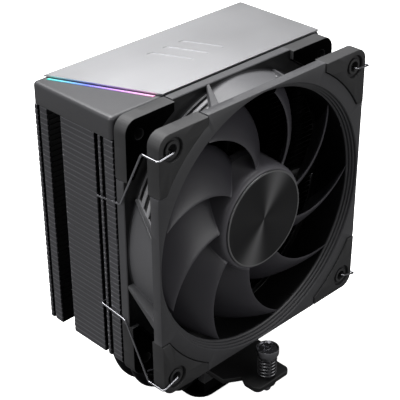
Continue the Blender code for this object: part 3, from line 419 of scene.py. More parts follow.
def axes(tree):
    """X, Y and Z of the Object coordinates as sockets."""
    split = tree.nodes.new("ShaderNodeSeparateXYZ")
    tree.links.new(tree.nodes.new("ShaderNodeTexCoord").outputs["Object"], split.inputs[0])
    return split.outputs["X"], split.outputs["Y"], split.outputs["Z"]


def from_axis(tree):
    """Sockets for the sideways place, the depth along Y and the height above the fan's axis, and the
    square of the distance from that axis."""
    x, y, z = axes(tree)
    up = maths(tree, "SUBTRACT", z, AXIS)
    return x, y, up, maths(tree, "MULTIPLY_ADD", up, up, maths(tree, "MULTIPLY", x, x))


def within(tree, square, radius):
    """Mask of what lies within a radius of the fan's axis."""
    return maths(tree, "LESS_THAN", square, radius ** 2)


def band(tree, value, low, high):
    """Mask of what lies between two values."""
    return maths(tree, "MULTIPLY", maths(tree, "GREATER_THAN", value, low),
                 maths(tree, "LESS_THAN", value, high))


def frame_finish(colour, groups):
    """Moulded frame plastic: a painted highlight makes the duct's panels paler and its ribs still paler, and
    painted shade makes black the wall between the ribs and the face the rear flange turns towards the front
    one."""
    look = moulded_look("frame_plastic", colour, 0.42, groups, 0.03)
    tree = look.tree
    _, y, _, square = from_axis(tree)
    behind = maths(tree, "GREATER_THAN", y, FRONT + 4.9 * MM)
    vents = band(tree, y, FRONT + 4.9 * MM, FRONT + REAR_FLANGE + 0.2 * MM)
    # painted highlight on the duct's panels and ribs, painted shade on the wall between the ribs
    panel = maths(tree, "MULTIPLY", within(tree, square, PANEL_OUTER + 0.55 * MM), vents)
    rib = maths(tree, "MULTIPLY", within(tree, square, RIB_OUTER + 0.1 * MM), vents)
    wall = maths(tree, "MULTIPLY", within(tree, square, DUCT_WALL + 0.3 * MM), behind)
    look.tint(panel, [c + 0.13 for c in colour])
    look.tint(rib, [c + 0.34 for c in colour])
    look.tint(wall, (0.03, 0.03, 0.035))
    # painted shade: the rear flange's forward face tinted near black
    face = maths(tree, "COMPARE", y, FRONT + REAR_FLANGE, 0.04 * MM)
    outside = maths(tree, "GREATER_THAN", square, (PANEL_OUTER + 0.75 * MM) ** 2)
    look.tint(maths(tree, "MULTIPLY", outside, face), (0.005, 0.005, 0.005), 0.95)
    return look.material


def blade_finish(colour, groups):
    """Blade plastic, with a painted highlight that makes the rounded side of the hub paler."""
    look = moulded_look("blade_plastic", colour, 0.4, groups, 0.025, 3000.0, 0.18)
    square = from_axis(look.tree)[3]
    # painted highlight on the rounded side of the hub
    look.tint(within(look.tree, square, HUB_SIDE), [c + 0.14 for c in colour])
    return look.material


def pad_finish(colour, groups):
    """Pad rubber, with painted shade: black and less shiny on the faces the rear pads turn towards the front
    flange.
    """
    look = moulded_look("pad_rubber", colour, 0.62, groups, 0.02, 3400.0, 0.12)
    tree = look.tree
    # painted shade: the rear pads' forward faces tinted black and their shine taken down
    inner = band(tree, axes(tree)[1], FRONT + REAR_PAD - 0.3 * MM, FRONT + REAR_PAD + 0.1 * MM)
    look.tint(inner, (0.002, 0.002, 0.002))
    shine = maths(tree, "MULTIPLY_ADD", inner, -0.48, 0.5)
    tree.links.new(shine, look.shader.inputs["Specular IOR Level"])
    return look.material


def fin_finish(colour, groups):
    """Fin sheet: a painted highlight makes a pale line at the top of each fold, and painted shade makes it
    dark between the fins.
    """
    look = brushed_look("fin_sheet", colour, 0.38, groups, 0.08)
    tree = look.tree
    x, _, z = axes(tree)
    # painted highlight: a pale band at the top of each fin pitch
    rise = maths(tree, "FLOORED_MODULO", maths(tree, "SUBTRACT", z, FIN_LOW.z), FIN_PITCH)
    look.tint(maths(tree, "LESS_THAN", rise, 0.45 * MM), [c + 0.2 for c in colour], 0.9)
    # painted shade: everything inside the folded side faces darkened
    inside = maths(tree, "LESS_THAN", maths(tree, "ABSOLUTE", x), FIN_SIDE)
    look.tint(inside, (0.07, 0.07, 0.075), 0.9)
    return look.material


def polished(name, colour, roughness, groups, light=0.1):
    """Plated metal: almost smooth, slightly cloudy."""
    look = Finish(name, colour, roughness, 1.0)
    skin = look.group(groups["mould_grain"], Grain=900.0, Cloud=160.0)
    look.tint(skin.outputs["Tone"], [min(c + light, 1) for c in colour], 0.8)
    look.roughen(skin.outputs["Tone"], 0.1)
    look.bump(skin.outputs["Height"], 0.00001, 0.3)
    return look.material


def spun_disc_finish(colour):
    """Turned metal face: concentric tool marks, two opposite pale sectors of painted reflection and a pale
    rim of painted highlight.
    """
    look = Finish("turned_disc", colour, 0.3, 1.0)
    tree = look.tree
    x, _, up, square = from_axis(tree)
    radius = maths(tree, "SQRT", square)
    marks = maths(tree, "SINE", maths(tree, "MULTIPLY", radius, 16000.0))
    # painted reflection: pale sectors at fixed angles about the axis
    lean = maths(tree, "SUBTRACT", maths(tree, "ARCTAN2", up, x), 1.15)
    sharp = maths(tree, "POWER", maths(tree, "ABSOLUTE", maths(tree, "COSINE", lean)), 22.0)
    side = maths(tree, "POWER", maths(tree, "ABSOLUTE", maths(tree, "SINE", lean)), 6.0)
    look.tint(side, [c + 0.05 for c in colour], 0.6)
    look.tint(sharp, [min(c + 0.34, 1) for c in colour], 0.95)
    # painted highlight along the disc's rim
    rim = maths(tree, "GREATER_THAN", radius, DISC_RIM)
    look.tint(rim, [min(c + 0.4, 1) for c in colour], 0.8)
    swing = maths(tree, "MULTIPLY_ADD", marks, 0.05, 0.34)
    tree.links.new(swing, look.shader.inputs["Roughness"])
    look.bump(marks, 0.000008, 0.4)
    return look.material


def glow_finish(ends, groups):
    """Light guide: colour runs along Y through the given (position 0 to 1, colour) stops."""
    look = Finish("light_strip", ends[0][1], 0.25)
    tree = look.tree
    along = tree.nodes.new("ShaderNodeMapRange")
    tree.links.new(axes(tree)[1], along.inputs["Value"])
    along.inputs["From Min"].default_value = GUIDE_LOW.y
    along.inputs["From Max"].default_value = GUIDE_HIGH.y
    ramp = tree.nodes.new("ShaderNodeValToRGB")
    elements = ramp.color_ramp.elements
    while len(elements) < len(ends):
        elements.new(0.5)
    for element, (position, colour) in zip(elements, ends):
        element.position = position
        element.color = (*linear(colour), 1.0)
    tree.links.new(along.outputs[0], ramp.inputs[0])
    tree.links.new(ramp.outputs[0], look.shader.inputs["Base Color"])
    tree.links.new(ramp.outputs[0], look.shader.inputs["Emission Color"])
    look.shader.inputs["Emission Strength"].default_value = 0.11
    skin = look.group(groups["mould_grain"], Grain=1500.0)
    look.bump(skin.outputs["Height"], 0.00001, 0.2)
    return look.material


def coil_finish():
    """Copper windings: rows of wire as fine ridges."""
    look = Finish("coil_copper", (0.62, 0.34, 0.2), 0.35, 1.0)
    tree = look.tree
    wave = tree.nodes.new("ShaderNodeTexWave")
    wave.inputs["Scale"].default_value = 500.0
    tree.links.new(tree.nodes.new("ShaderNodeTexCoord").outputs["Object"], wave.inputs["Vector"])
    look.tint(wave.outputs["Fac"], (0.4, 0.2, 0.12), 0.7)
    look.bump(wave.outputs["Fac"], 0.00008, 0.8)
    return look.material


def board_finish():
    """Printed board: lacquer with a network of slightly raised tracks."""
    look = Finish("board_lacquer", (0.05, 0.22, 0.13), 0.4)
    tree = look.tree
    cells = tree.nodes.new("ShaderNodeTexBrick")
    cells.inputs["Scale"].default_value = 320.0
    cells.inputs["Mortar Size"].default_value = 0.04
    tree.links.new(tree.nodes.new("ShaderNodeTexCoord").outputs["Object"], cells.inputs["Vector"])
    look.tint(cells.outputs["Fac"], (0.2, 0.42, 0.25), 0.8)
    look.bump(cells.outputs["Fac"], 0.00004, 0.5)
    return look.material


FINISHES = {}


def finishes(colours):
    """Build every finish once and keep it by name."""
    if FINISHES:
        return FINISHES
    groups = {"mould_grain": make_mould_grain(), "brushing": make_brushing(), "edge_wear": make_painted_edge_highlight()}
    FINISHES.update(
        frame=frame_finish(colours.frame, groups),
        pad=pad_finish(colours.pad, groups),
        blade=blade_finish(colours.blade, groups),
        cover=moulded("cover_plastic", colours.cover, 0.4, groups, 0.03, 3200.0, 0.3),
        fin=fin_finish(colours.fin, groups),
        plate=brushed("plate_sheet", colours.plate, 0.36, groups, 0.05),
        cap=spun_disc_finish(colours.cap),
        glow=glow_finish([(0.0, colours.glow_front), (0.38, colours.glow_middle),
                          (0.62, colours.glow_deep), (1.0, colours.glow_back)], groups),
        pipe=polished("pipe_plating", (0.16, 0.16, 0.17), 0.24, groups, 0.05),
        wire=polished("bright_wire", (0.6, 0.6, 0.62), 0.2, groups),
        spring=polished("spring_wire", (0.42, 0.42, 0.43), 0.22, groups),
        screw=polished("screw_plating", (0.55, 0.55, 0.57), 0.26, groups),
        bolt=polished("black_plating", (0.2, 0.2, 0.21), 0.36, groups, 0.05),
        bar=moulded("bar_coating", (0.04, 0.04, 0.045), 0.5, groups, 0.02, 1800.0, 0.1),
        base=brushed("base_plating", (0.1, 0.1, 0.105), 0.3, groups, 0.04),
        block=brushed("milled_block", (0.46, 0.46, 0.47), 0.4, groups),
        brass=polished("sleeve_brass", (0.72, 0.58, 0.3), 0.3, groups),
        magnet=moulded("magnet_ferrite", (0.16, 0.15, 0.15), 0.75, groups, 0.04),
        coil=coil_finish(),
        board=board_finish())
    return FINISHES


# ---------------------------------------------------------------- pieces

def polar(outline, angles, centre):
    """Distance from centre to the outline in each direction: the furthest crossing of each ray."""
    p = np.asarray(outline, float) - centre
    q = np.roll(p, -1, 0)
    ray = np.stack([np.cos(angles), np.sin(angles)], 1)[:, None]
    edge = (q - p)[None]
    start = p[None]
    cross = ray[..., 0] * edge[..., 1] - ray[..., 1] * edge[..., 0]
    safe = np.where(np.abs(cross) < 1e-12, 1e-12, cross)
    reach = (start[..., 0] * edge[..., 1] - start[..., 1] * edge[..., 0]) / safe
    share = (start[..., 0] * ray[..., 1] - start[..., 1] * ray[..., 0]) / safe
    good = (share > -1e-9) & (share < 1 + 1e-9) & (reach > 0) & (np.abs(cross) > 1e-12)
    return np.where(good, reach, 0).max(1)


def ring_between(outline, stations, centre, steps=240):
    """Ring-shaped solid about the Y axis: its closed section runs through stations, each either a
    circle ('in', radius, depth) or the outline drawn in ('out', amount, depth)."""
    rel = np.asarray(outline, float) - centre
    corners = np.arctan2(rel[:, 1], rel[:, 0]) % TAU
    angles = np.unique(np.concatenate([np.arange(steps) * TAU / steps, corners]).round(5))
    reach = polar(outline, angles, np.asarray(centre, float))
    grid = np.zeros((len(angles), len(stations), 3))
    for k, (kind, size, deep) in enumerate(stations):
        radius = reach - size if kind == "out" else np.full(len(angles), size)
        grid[:, k, 0] = centre[0] + radius * np.cos(angles)
        grid[:, k, 1] = FRONT + deep
        grid[:, k, 2] = centre[1] + radius * np.sin(angles)
    return loft(grid, closed=True)


def turned(points, quarter):
    """Plane points turned by quarter turns about the fan axis."""
    points = np.asarray(points, float) - (0, AXIS)
    for _ in range(quarter):
        points = np.stack([-points[:, 1], points[:, 0]], 1)
    return points + (0, AXIS)


def arc_points(radius, first, last, steps, centre):
    """Arc from one angle in degrees to another about centre."""
    a = np.radians(np.linspace(first, last, steps))
    return np.stack([centre[0] + radius * np.cos(a), centre[1] + radius * np.sin(a)], 1)


def about_fan(profile, steps=96):
    """Profile of (radius, depth behind the front) points in mm, turned round the fan's axis."""
    radius, depth = np.array(profile, float).T * MM
    return spun(radius, FRONT + depth, (0, AXIS), "y", steps)


def flange_outline(edge, ring):
    """Square with its four corners cut back to an arc beyond the line edge from the axis planes."""
    lean = math.degrees(math.asin(edge / ring))
    corner = np.vstack([[(HALF, AXIS + edge)], arc_points(ring, lean, 90 - lean, 14, (0, AXIS)),
                        [(edge, AXIS + HALF)]])
    return np.vstack([turned(corner, quarter) for quarter in range(4)])


def web(quarter, start, stop, widths, fall):
    """Slanted web between the flanges: at each depth a four-sided section from the duct outwards,
    sliding sideways from start to stop while its width goes from widths[0] to widths[1] and its
    outer edge falls from the side plane by fall."""
    depth = np.linspace(4.6 * MM, 20.6 * MM, 9)
    t = np.linspace(0, 1, 9)
    middle = start + (stop - start) * t
    half = (widths[0] + (widths[1] - widths[0]) * t) / 2
    rings = []
    for d, x, w in zip(depth, middle, half):
        low = math.sqrt((57.0 * MM) ** 2 - x ** 2)
        top = HALF - 0.25 * MM - fall * (d - depth[0]) / (depth[-1] - depth[0])
        section = turned([(x - w, AXIS + low), (x + w, AXIS + low), (x + w, AXIS + top - 0.3 * MM),
                          (x + w - 0.3 * MM, AXIS + top), (x - w + 0.3 * MM, AXIS + top),
                          (x - w, AXIS + top - 0.3 * MM)], quarter)
        rings.append(np.stack([section[:, 0], np.full(6, FRONT + d), section[:, 1]], 1))
    return loft(rings)


def duct_panel(quarter, inner, outer):
    """Closed wall of the duct at the middle of a side; its ends slant with depth."""
    turn = np.radians(np.linspace(-25.0, 12.0, 30))
    along = [5.0, 6.0, 9.0, 13.0, 17.0, 20.6, 21.4]
    d = np.array([along[0]] + along + along[:0:-1]) * MM
    r = np.array([inner] + [outer] * len(along) + [inner] * (len(along) - 1))
    angle = math.pi / 2 - (turn[:, None] + np.radians(1030.0 * (d[None] - 8.2 * MM))) + quarter * math.pi / 2
    return loft(np.stack([r * np.cos(angle), np.repeat((FRONT + d)[None], len(turn), 0),
                          AXIS + r * np.sin(angle)], -1))


def duct_ring(low, high, inner, outer, soft=0.25 * MM):
    """Hoop of the duct: a rectangle with softened corners carried round the axis."""
    r = [inner, inner, inner + soft, outer - soft, outer, outer, outer - soft, inner + soft]
    y = [low + soft, high - soft, high, high, high - soft, low + soft, low, low]
    return spun(r, FRONT + np.array(y), (0, AXIS), "y", 192)


def strut(quarter):
    """Arm from the motor mount to the duct, leaning sideways as it goes out, with a chamfered front."""
    rings = []
    for s in np.linspace(0, 1, 8):
        x, z = 6 * MM * s, 16 * MM + (57.6 - 16) * MM * s
        (xa, za), (xb, zb) = turned([(x - 2.5 * MM, AXIS + z), (x + 2.5 * MM, AXIS + z)], quarter)
        section = ((0.0, 22.4), (0.2, 21.7), (0.8, 21.7), (1.0, 22.4), (1.0, 24.1), (0.0, 24.1))
        rings.append([(xa + (xb - xa) * share, FRONT + deep * MM, za + (zb - za) * share)
                      for share, deep in section])
    return loft(rings)


def build_fan_frame(sizes, look):
    """Flanges, vented duct, webs and motor mount of the fan frame."""
    outline = flange_outline(33.7 * MM, 65.1 * MM)
    soft = sizes.edge_radius
    lip, back = 0.5 * MM, 24.5 * MM
    mouth = [(59.3, 0.5), (58.9, 0.9), (58.85, 1.7), (58.3, 1.9), (58.1, 2.0), (58.05, 2.8), (57.5, 3.0),
             (57.3, 3.1), (57.25, 3.9), (56.7, 4.1), (56.5, 4.3), (56.5, 5.3)]
    front = [("out", 0.0, 4.9 * MM), ("out", 0.0, lip + soft), ("out", soft * 0.3, lip + soft * 0.3),
             ("out", soft, lip)]
    front += [("in", r * MM, d * MM) for r, d in mouth] + [("out", soft, FLANGE_BACK)]
    rear = [("out", 0.0, back - soft), ("out", 0.0, REAR_FLANGE + soft), ("out", soft, REAR_FLANGE),
            ("in", 57.5 * MM, REAR_FLANGE), ("in", DUCT_INNER, 20.8 * MM), ("in", 58.4 * MM, back),
            ("out", soft, back)]
    shapes = [ring_between(outline, front, (0.0, AXIS)), ring_between(outline, rear, (0.0, AXIS)),
              duct_ring(5.05 * MM, 20.85 * MM, DUCT_INNER, DUCT_WALL)]
    for low, high in ((5.0, 6.8), (8.3, 10.2), (12.1, 14.0), (15.9, 17.8), (19.4, 20.9)):
        shapes.append(duct_ring(low * MM, high * MM, DUCT_INNER + 0.4 * MM, RIB_OUTER))
    for quarter in range(4):
        shapes.append(duct_panel(quarter, DUCT_INNER + 0.3 * MM, PANEL_OUTER))
        shapes.append(web(quarter, -26 * MM, -14 * MM, (4.4 * MM, 1.6 * MM), 0.0))
        shapes.append(web(quarter, 13 * MM, 24 * MM, (1.6 * MM, 1.2 * MM), 5.5 * MM))
        shapes.append(strut(quarter))
    shapes.append(about_fan([(0, 21.6), (19.2, 21.6), (20, 22.2), (20, 23.7), (19.4, 24.2), (0, 24.2)]))
    piece("fan_housing", merged(*shapes), look["frame"], "root", ["fan_frame"])


def build_pads(sizes, look):
    """Eight corner pads: outline drawn in round the screw hole, with a ring groove in front."""
    names = ("top_right", "top_left", "bottom_left", "bottom_right")
    outer, start, ring = 59.6 * MM, 34 * MM, 65.4 * MM
    lean = math.degrees(math.asin(start / ring))
    bend = 5.6 * MM
    outline = np.vstack([[(start, AXIS + outer)], arc_points(ring, 90 - lean, lean, 16, (0, AXIS)),
                         [(outer, AXIS + start)],
                         arc_points(bend, 0, 90, 10, (outer - bend, AXIS + outer - bend))])
    soft = sizes.edge_radius
    dishes = {"front": [(2.15, 0.9), (2.35, 0.35), (3.2, 0.3), (3.45, 0.5), (3.5, 1.3), (4.8, 1.3),
                        (4.95, 0.35), (5.2, 0.0)],
              "rear": [(2.2, 0.2), (2.5, 0.0), (4.0, 0.0)]}
    for side, low, high in (("front", 0.0, 6.7 * MM), ("rear", REAR_PAD, 25.0 * MM)):
        for quarter, corner in enumerate(names):
            centre = turned([(HOLE_REACH, AXIS + HOLE_REACH)], quarter)[0]
            stations = [("in", 2.1 * MM, high - 0.2 * MM)]
            stations += [("in", r * MM, low + d * MM) for r, d in dishes[side]]
            stations += [("out", soft * 1.3, low), ("out", soft * 0.4, low + soft * 0.4),
                         ("out", 0.0, low + soft * 1.3), ("out", 0.0, high - soft), ("out", soft, high),
                         ("in", 2.4 * MM, high)]
            name = "%s_pad_%s" % (side, corner)
            bumper = ring_between(turned(outline, quarter), stations, centre, 96)
            piece(name.replace("pad", "bumper"), bumper, look["pad"], "root", [name])


def wing(phase, sizes):
    """One fan blade. Middle surface: span s from root to tip, chord u from leading to trailing edge;
    the leading edge sweeps forward with a power of s, the chord narrows with s and the depth grows
    with u. Thickness fades at all edges."""
    s = np.linspace(0, 1, 34)[:, None]
    u = (0.5 - 0.5 * np.cos(np.linspace(0, math.pi, 22)))[None]
    root, tip = 22.6 * MM, 55.4 * MM
    radius = root + (tip - root) * s
    lead = phase - 27.0 * (1 - s ** 1.45)
    chord = 37.0 - 13.0 * s
    near, far = 4.4 - 1.0 * s, 17.0 + 3.6 * s
    angle = np.radians(lead - chord * u)
    depth = (near + (far - near) * (0.8 * u + 0.2 * u * u)) * MM
    middle = np.stack([radius * np.cos(angle), FRONT + depth, AXIS + radius * np.sin(angle)], -1)
    along, across = np.gradient(middle, axis=0), np.gradient(middle, axis=1)
    normal = np.cross(along, across)
    normal /= np.linalg.norm(normal, axis=2)[..., None]
    fade = np.sqrt(np.clip(1 - np.abs(2 * u - 1) ** 5, 0.02, 1)) * np.sqrt(np.clip(1 - s ** 24, 0.03, 1))
    half = (sizes.blade_thickness / 2 * fade)[..., None]
    upper, lower = middle + normal * half, middle - normal * half
    return loft(np.concatenate([upper, lower[:, ::-1]], 1))


def build_impeller(sizes, look):
    """Hub with nine swept blades and the turned disc on its front."""
    shapes = [about_fan([(0, 2.3), (20.9, 2.3), (21.7, 2.32), (22.3, 2.5), (22.9, 3.0), (23.4, 3.9),
                         (23.7, 5.2), (24.0, 7.0), (24.35, 11.0), (24.7, 16.0), (24.9, 18.2),
                         (24.9, 18.5), (21.0, 18.5), (21.0, 4.0), (0, 4.0)], 128)]
    shapes += [wing(3.7 + 360.0 / BLADE_COUNT * k, sizes) for k in range(BLADE_COUNT)]
    piece("fan_blades", merged(*shapes), look["blade"], "rotor", ["impeller"], 50)
    disc = about_fan([(0, 1.62), (6, 1.61), (12, 1.6), (18, 1.58), (20.6, 1.55), (21.2, 1.5),
                      (21.6, 1.55), (21.7, 1.7), (21.7, 2.0), (0, 2.0)], 160)
    piece("hub_disc", disc, look["cap"], "rotor", ["hub_cap"])


def fin_shapes():
    """Stack of thin notched plates, one a pitch above the other, with rows of folded tabs along both
    sides: long closed ones at the middle of each side and short ones at its ends."""
    side = np.array([(59.3, -16.2), (59.3, -10.8), (57.4, -10.8), (57.4, -8.9), (59.3, -8.9), (59.3, -7.4),
                     (54.6, -7.4), (54.6, -5.2), (59.3, -5.2), (59.3, 15.0), (47.6, 15.0), (47.6, 23.6),
                     (59.3, 23.6), (59.3, 28.2), (57.4, 28.2), (57.4, 29.8), (59.3, 29.8),
                     (59.3, 31.5)]) * MM
    outline = np.vstack([side, side[::-1] * (-1, 1)])
    base = FIN_LOW.z + np.arange(FIN_COUNT) * FIN_PITCH
    plates, tabs = [], []
    for z in base:
        column = np.full(len(outline), z)
        low = np.stack([outline[:, 0], outline[:, 1], column], 1)
        plates.append(loft(np.stack([low, low + (0, 0, FIN_THICK)])))
    rows = ((59.6, -5.2, 15.0), (59.6, -16.0, -10.9), (59.6, -8.8, -7.5), (59.6, 23.7, 28.1),
            (59.6, 29.9, 31.4), (58.6, -16.0, -8.9), (58.6, 28.2, 31.4), (54.7, -7.4, -5.2))
    fold = np.array([(-0.7, 1.0), (-0.4, 0.985), (-0.13, 0.92), (0.0, 0.8), (0.0, 0.04), (-0.1, 0.0),
                     (-0.7, 0.0)])
    for sign in (-1, 1):
        for reach, y0, y1 in rows:
            for z in base[1:]:
                x = sign * (reach + fold[:, 0]) * MM
                z_row = z + FIN_THICK - FOLD_HEIGHT * (1 - fold[:, 1])
                ring = np.stack([x, np.full(len(fold), y0 * MM), z_row], 1)
                tabs.append(loft(np.stack([ring, ring + (0, (y1 - y0) * MM, 0)])))
    return merged(*(plates + tabs))


def pipe_shape(number):
    """Bent pipe: straight legs through the fins, a Bezier turn to the base and a straight middle;
    both ends are drawn in to a blunt tip."""
    leg_x = (30, 39, 39, 30)[number] * MM
    leg_y = (-9.0, 1.5, 13.5, 24.0)[number] * MM
    base_x, base_y = 18 * MM, (number - 1.5) * 8.5 * MM
    start, end = np.array([leg_x, leg_y, 41.1 * MM]), np.array([base_x, base_y, 7.6 * MM])
    down = start - (0, 0, 0.75 * (start[2] - end[2]))
    across = end + (0.85 * (leg_x - base_x) + 4 * MM, 0, 0)
    t = np.linspace(0, 1, 26)[:, None]
    bend = start * (1 - t) ** 3 + down * 3 * t * (1 - t) ** 2 + across * 3 * t * t * (1 - t) + end * t ** 3
    tip = [(0.0, 0.25), (0.2, 0.5), (0.8, 0.8), (1.7, 0.96), (2.9, 1), (31.5, 1), (71.5, 1), (101.5, 1)]
    leg = [(leg_x, leg_y, PIPE_TOP - fall * MM) for fall, _ in tip]
    half = np.vstack([leg, bend])
    size = np.array([share for _, share in tip] + [1.0] * len(bend)) * PIPE_RADIUS
    path = np.vstack([half, (half * (-1, 1, 1))[::-1]])
    return swept(path, np.concatenate([size, size[::-1]]), 28)


def build_block(sizes, look):
    """Fins, pipes, bar and bolts."""
    piece("finned_block", fin_shapes(), look["fin"], "root", ["fin_stack"], 30)
    for number in range(PIPE_COUNT):
        piece("bent_pipe_%d" % (number + 1), pipe_shape(number), look["pipe"], "root",
              ["heat_pipe_%d" % (number + 1)])
    soft = sizes.edge_radius
    waist = [(16.4, 33.1), (8.9, 37.7), (10.7, 41.0)]
    quarter = np.vstack([waist, arc_points(3, 0, 90, 9, (7.7, 46.0))]) * MM
    half = np.vstack([quarter, (quarter * (-1, 1))[::-1]])
    outline = np.vstack([half, -half])
    piece("mounting_bar", plate(outline, BAR_LOW.z, BAR_HIGH.z, soft), look["bar"], "root", ["crossbar"])
    r = np.array([0, 1.5, 1.5, 2.8, 2.8, 2.4, 1.6, 0]) * MM
    for number, (x, y) in enumerate(((-1, -1), (1, -1), (1, 1), (-1, 1)), 1):
        low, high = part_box("crossbar_bolt_%d" % number)
        seat = BAR_HIGH.z + 0.3 * MM
        z = np.array([low.z, low.z, seat, seat, high.z - 0.7 * MM, high.z - 0.15 * MM, high.z, high.z])
        bolt = spun(r, z, (x * 10 * MM, y * 8.5 * MM), "z", 40)
        piece("bar_bolt_%d" % number, bolt, look["bolt"], "root", ["crossbar_bolt_%d" % number])


def screw_shape(y):
    """Turned screw with a cross recess: the profile below runs from the recess over the head's rim and
    down the shank to the tip, and a cross-shaped part of the head's top is sunk."""
    r = np.concatenate([(0.02, 0.5, 1.0, 1.5, 2.0, 2.4, 2.7, 2.9, 3.1, 4.1), (4.25, 4.35, 4.6, 4.9, 5.05),
                        (5.1, 5.1, 5.0, 4.45, 4.3, 4.2, 1.9, 1.9, 1.4, 1.4, 1.9, 1.9, 1.3, 0.02)])
    z = np.concatenate([np.full(10, 33.2), (33.3, 33.75, 33.9, 33.88, 33.75),
                        (33.5, 31.1, 30.7, 29.7, 29.2, 28.9, 28.9, 15.35, 15.35, 14.15, 14.15, 11.3,
                         10.4, 10.4)])
    angle = np.arange(120) * TAU / 120
    x_grid, y_grid = r[:, None] * np.cos(angle), r[:, None] * np.sin(angle)
    z_grid = np.repeat(z[:, None], len(angle), 1)
    near = np.minimum(np.abs(x_grid), np.abs(y_grid))
    cross = np.clip((0.62 - near) / 0.12, 0, 1) * np.clip((3.0 - r[:, None]) / 0.3, 0, 1)
    z_grid -= 1.2 * cross * (np.arange(len(r)) < 10)[:, None]
    return loft(np.stack([x_grid * MM, y_grid * MM + y, z_grid * MM], -1))


def spring_shape(y):
    """Helical spring: height rises evenly with the angle round the screw."""
    t = np.linspace(0, 1, SPRING_TURNS * 30 + 1)
    low, high = SPRING_LOW.z + SPRING_WIRE, SPRING_HIGH.z - SPRING_WIRE
    spiral = np.stack([SPRING_RADIUS * np.cos(t * SPRING_TURNS * TAU),
                       y + SPRING_RADIUS * np.sin(t * SPRING_TURNS * TAU), low + (high - low) * t], 1)
    return swept(spiral, SPRING_WIRE, 12)


def build_spring_screws(sizes, look):
    """Both spring screws: turned head with a cross recess, helical spring, open ring."""
    for side, y in (("front", SCREW_Y), ("rear", -SCREW_Y)):
        piece(side + "_sprung_screw", screw_shape(y), look["screw"], side + "_screw",
              [side + "_spring_screw"], 30)
        coil = piece(side + "_coil", spring_shape(y), look["spring"], "root", [side + "_spring"])
        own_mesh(coil)
        ring = np.vstack([arc_points(4.0 * MM, -150, 150, 40, (0, y)),
                          arc_points(1.7 * MM, 150, -150, 30, (0, y))])
        piece(side + "_open_ring", plate(ring, 14.45 * MM, 15.05 * MM, 0.1 * MM), look["bolt"],
              side + "_press", [side + "_retaining_ring"])


def slanted(offset, y):
    """Point of a line parallel to the plate's slanted edge and offset to its left."""
    front, rear = np.array([-33.2, -16.0]) * MM, np.array([-54.3, 30.7]) * MM
    run = (rear - front) / np.linalg.norm(rear - front)
    base = front + np.array([-run[1], run[0]]) * offset
    return np.array([base[0] + run[0] * (y - base[1]) / run[1], y])


def build_cover(sizes, look):
    """Cover with rounded shoulders and the light strip."""
    half_y = (COVER_HIGH.y - COVER_LOW.y) / 2
    centre = (0.0, COVER_LOW.y + half_y)
    bend = sizes.cover_radius
    outline = rounded_outline(HALF, half_y, 2.0 * MM, 8, centre)
    t = np.linspace(0, math.pi / 2, 9)
    levels = [(0.3 * MM, COVER_LOW.z), (0.0, COVER_LOW.z + 0.3 * MM)]
    levels += [(bend * (1 - math.cos(a)), COVER_HIGH.z - bend * (1 - math.sin(a))) for a in t]
    rings = []
    for amount, height in levels:
        flat = inset(outline, amount)
        rings.append(np.column_stack([flat, np.full(len(flat), height)]))
    piece("cover_shell", loft(rings), look["cover"], "root", ["cover_frame"], 50)

    near, far = 0.75 * MM, 1.85 * MM
    strip = np.array([slanted(near, GUIDE_LOW.y), slanted(near, GUIDE_HIGH.y),
                      slanted(far, GUIDE_HIGH.y), slanted(far, GUIDE_LOW.y)])
    sides = zip(strip, np.roll(strip, -1, 0))
    dense = np.vstack([np.linspace(a, b, 12, endpoint=False) for a, b in sides])
    piece("light_strip", plate(dense, GUIDE_LOW.z, GUIDE_HIGH.z, 0.15 * MM), look["glow"], "root",
          ["light_guide"])


def clip_points(sign):
    """Corners of a wire clip, from the upper hook to the lower one."""
    front, hole, face, deep = FRONT / MM, HOLE_REACH / MM, -0.85, 3.0
    side, notch_y, notch_x = HALF / MM + 0.9, -6.2, 57.0
    out = []
    for hole_z, front_z, step_z, run_z in ((51.9, 50.9, 24.2, 22.6), (-51.9, -54.6, -30.5, -29.0)):
        inward = -math.copysign(0.6, hole_z)
        points = [(hole, front + deep, hole_z), (hole, front + face, hole_z), (side, front + face, front_z),
                  (side, front + 8.2, front_z), (side, front + 21.3, step_z), (side, notch_y, run_z),
                  (notch_x, notch_y, run_z + inward)]
        out.append([(sign * x * MM, y * MM, AXIS + z * MM) for x, y, z in points])
    return out[0] + out[1][::-1]


def build_clips(sizes, look):
    """Two bent wire clips with rounded corners."""
    for name, sign in (("left", -1), ("right", 1)):
        path = smooth_path(clip_points(sign), sizes.wire_bend, 7)
        piece(name + "_wire_clip", swept(path, sizes.wire_radius, 14), look["wire"], name + "_clip",
              [name + "_fan_clip"])


def dress_inner(sizes, look):
    """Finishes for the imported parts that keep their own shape."""
    dress = {"top_plate": "plate", "cold_plate": "base", "base_block": "block", "led_board": "board",
             "rotor_yoke": "screw", "magnet_ring": "magnet", "shaft": "wire", "bearing": "brass",
             "stator": "coil", "motor_board": "board"}
    for node, finish in dress.items():
        for slot in frame["nodes"][node].material_slots:
            slot.material = look[finish]


# ---------------------------------------------------------------- stage

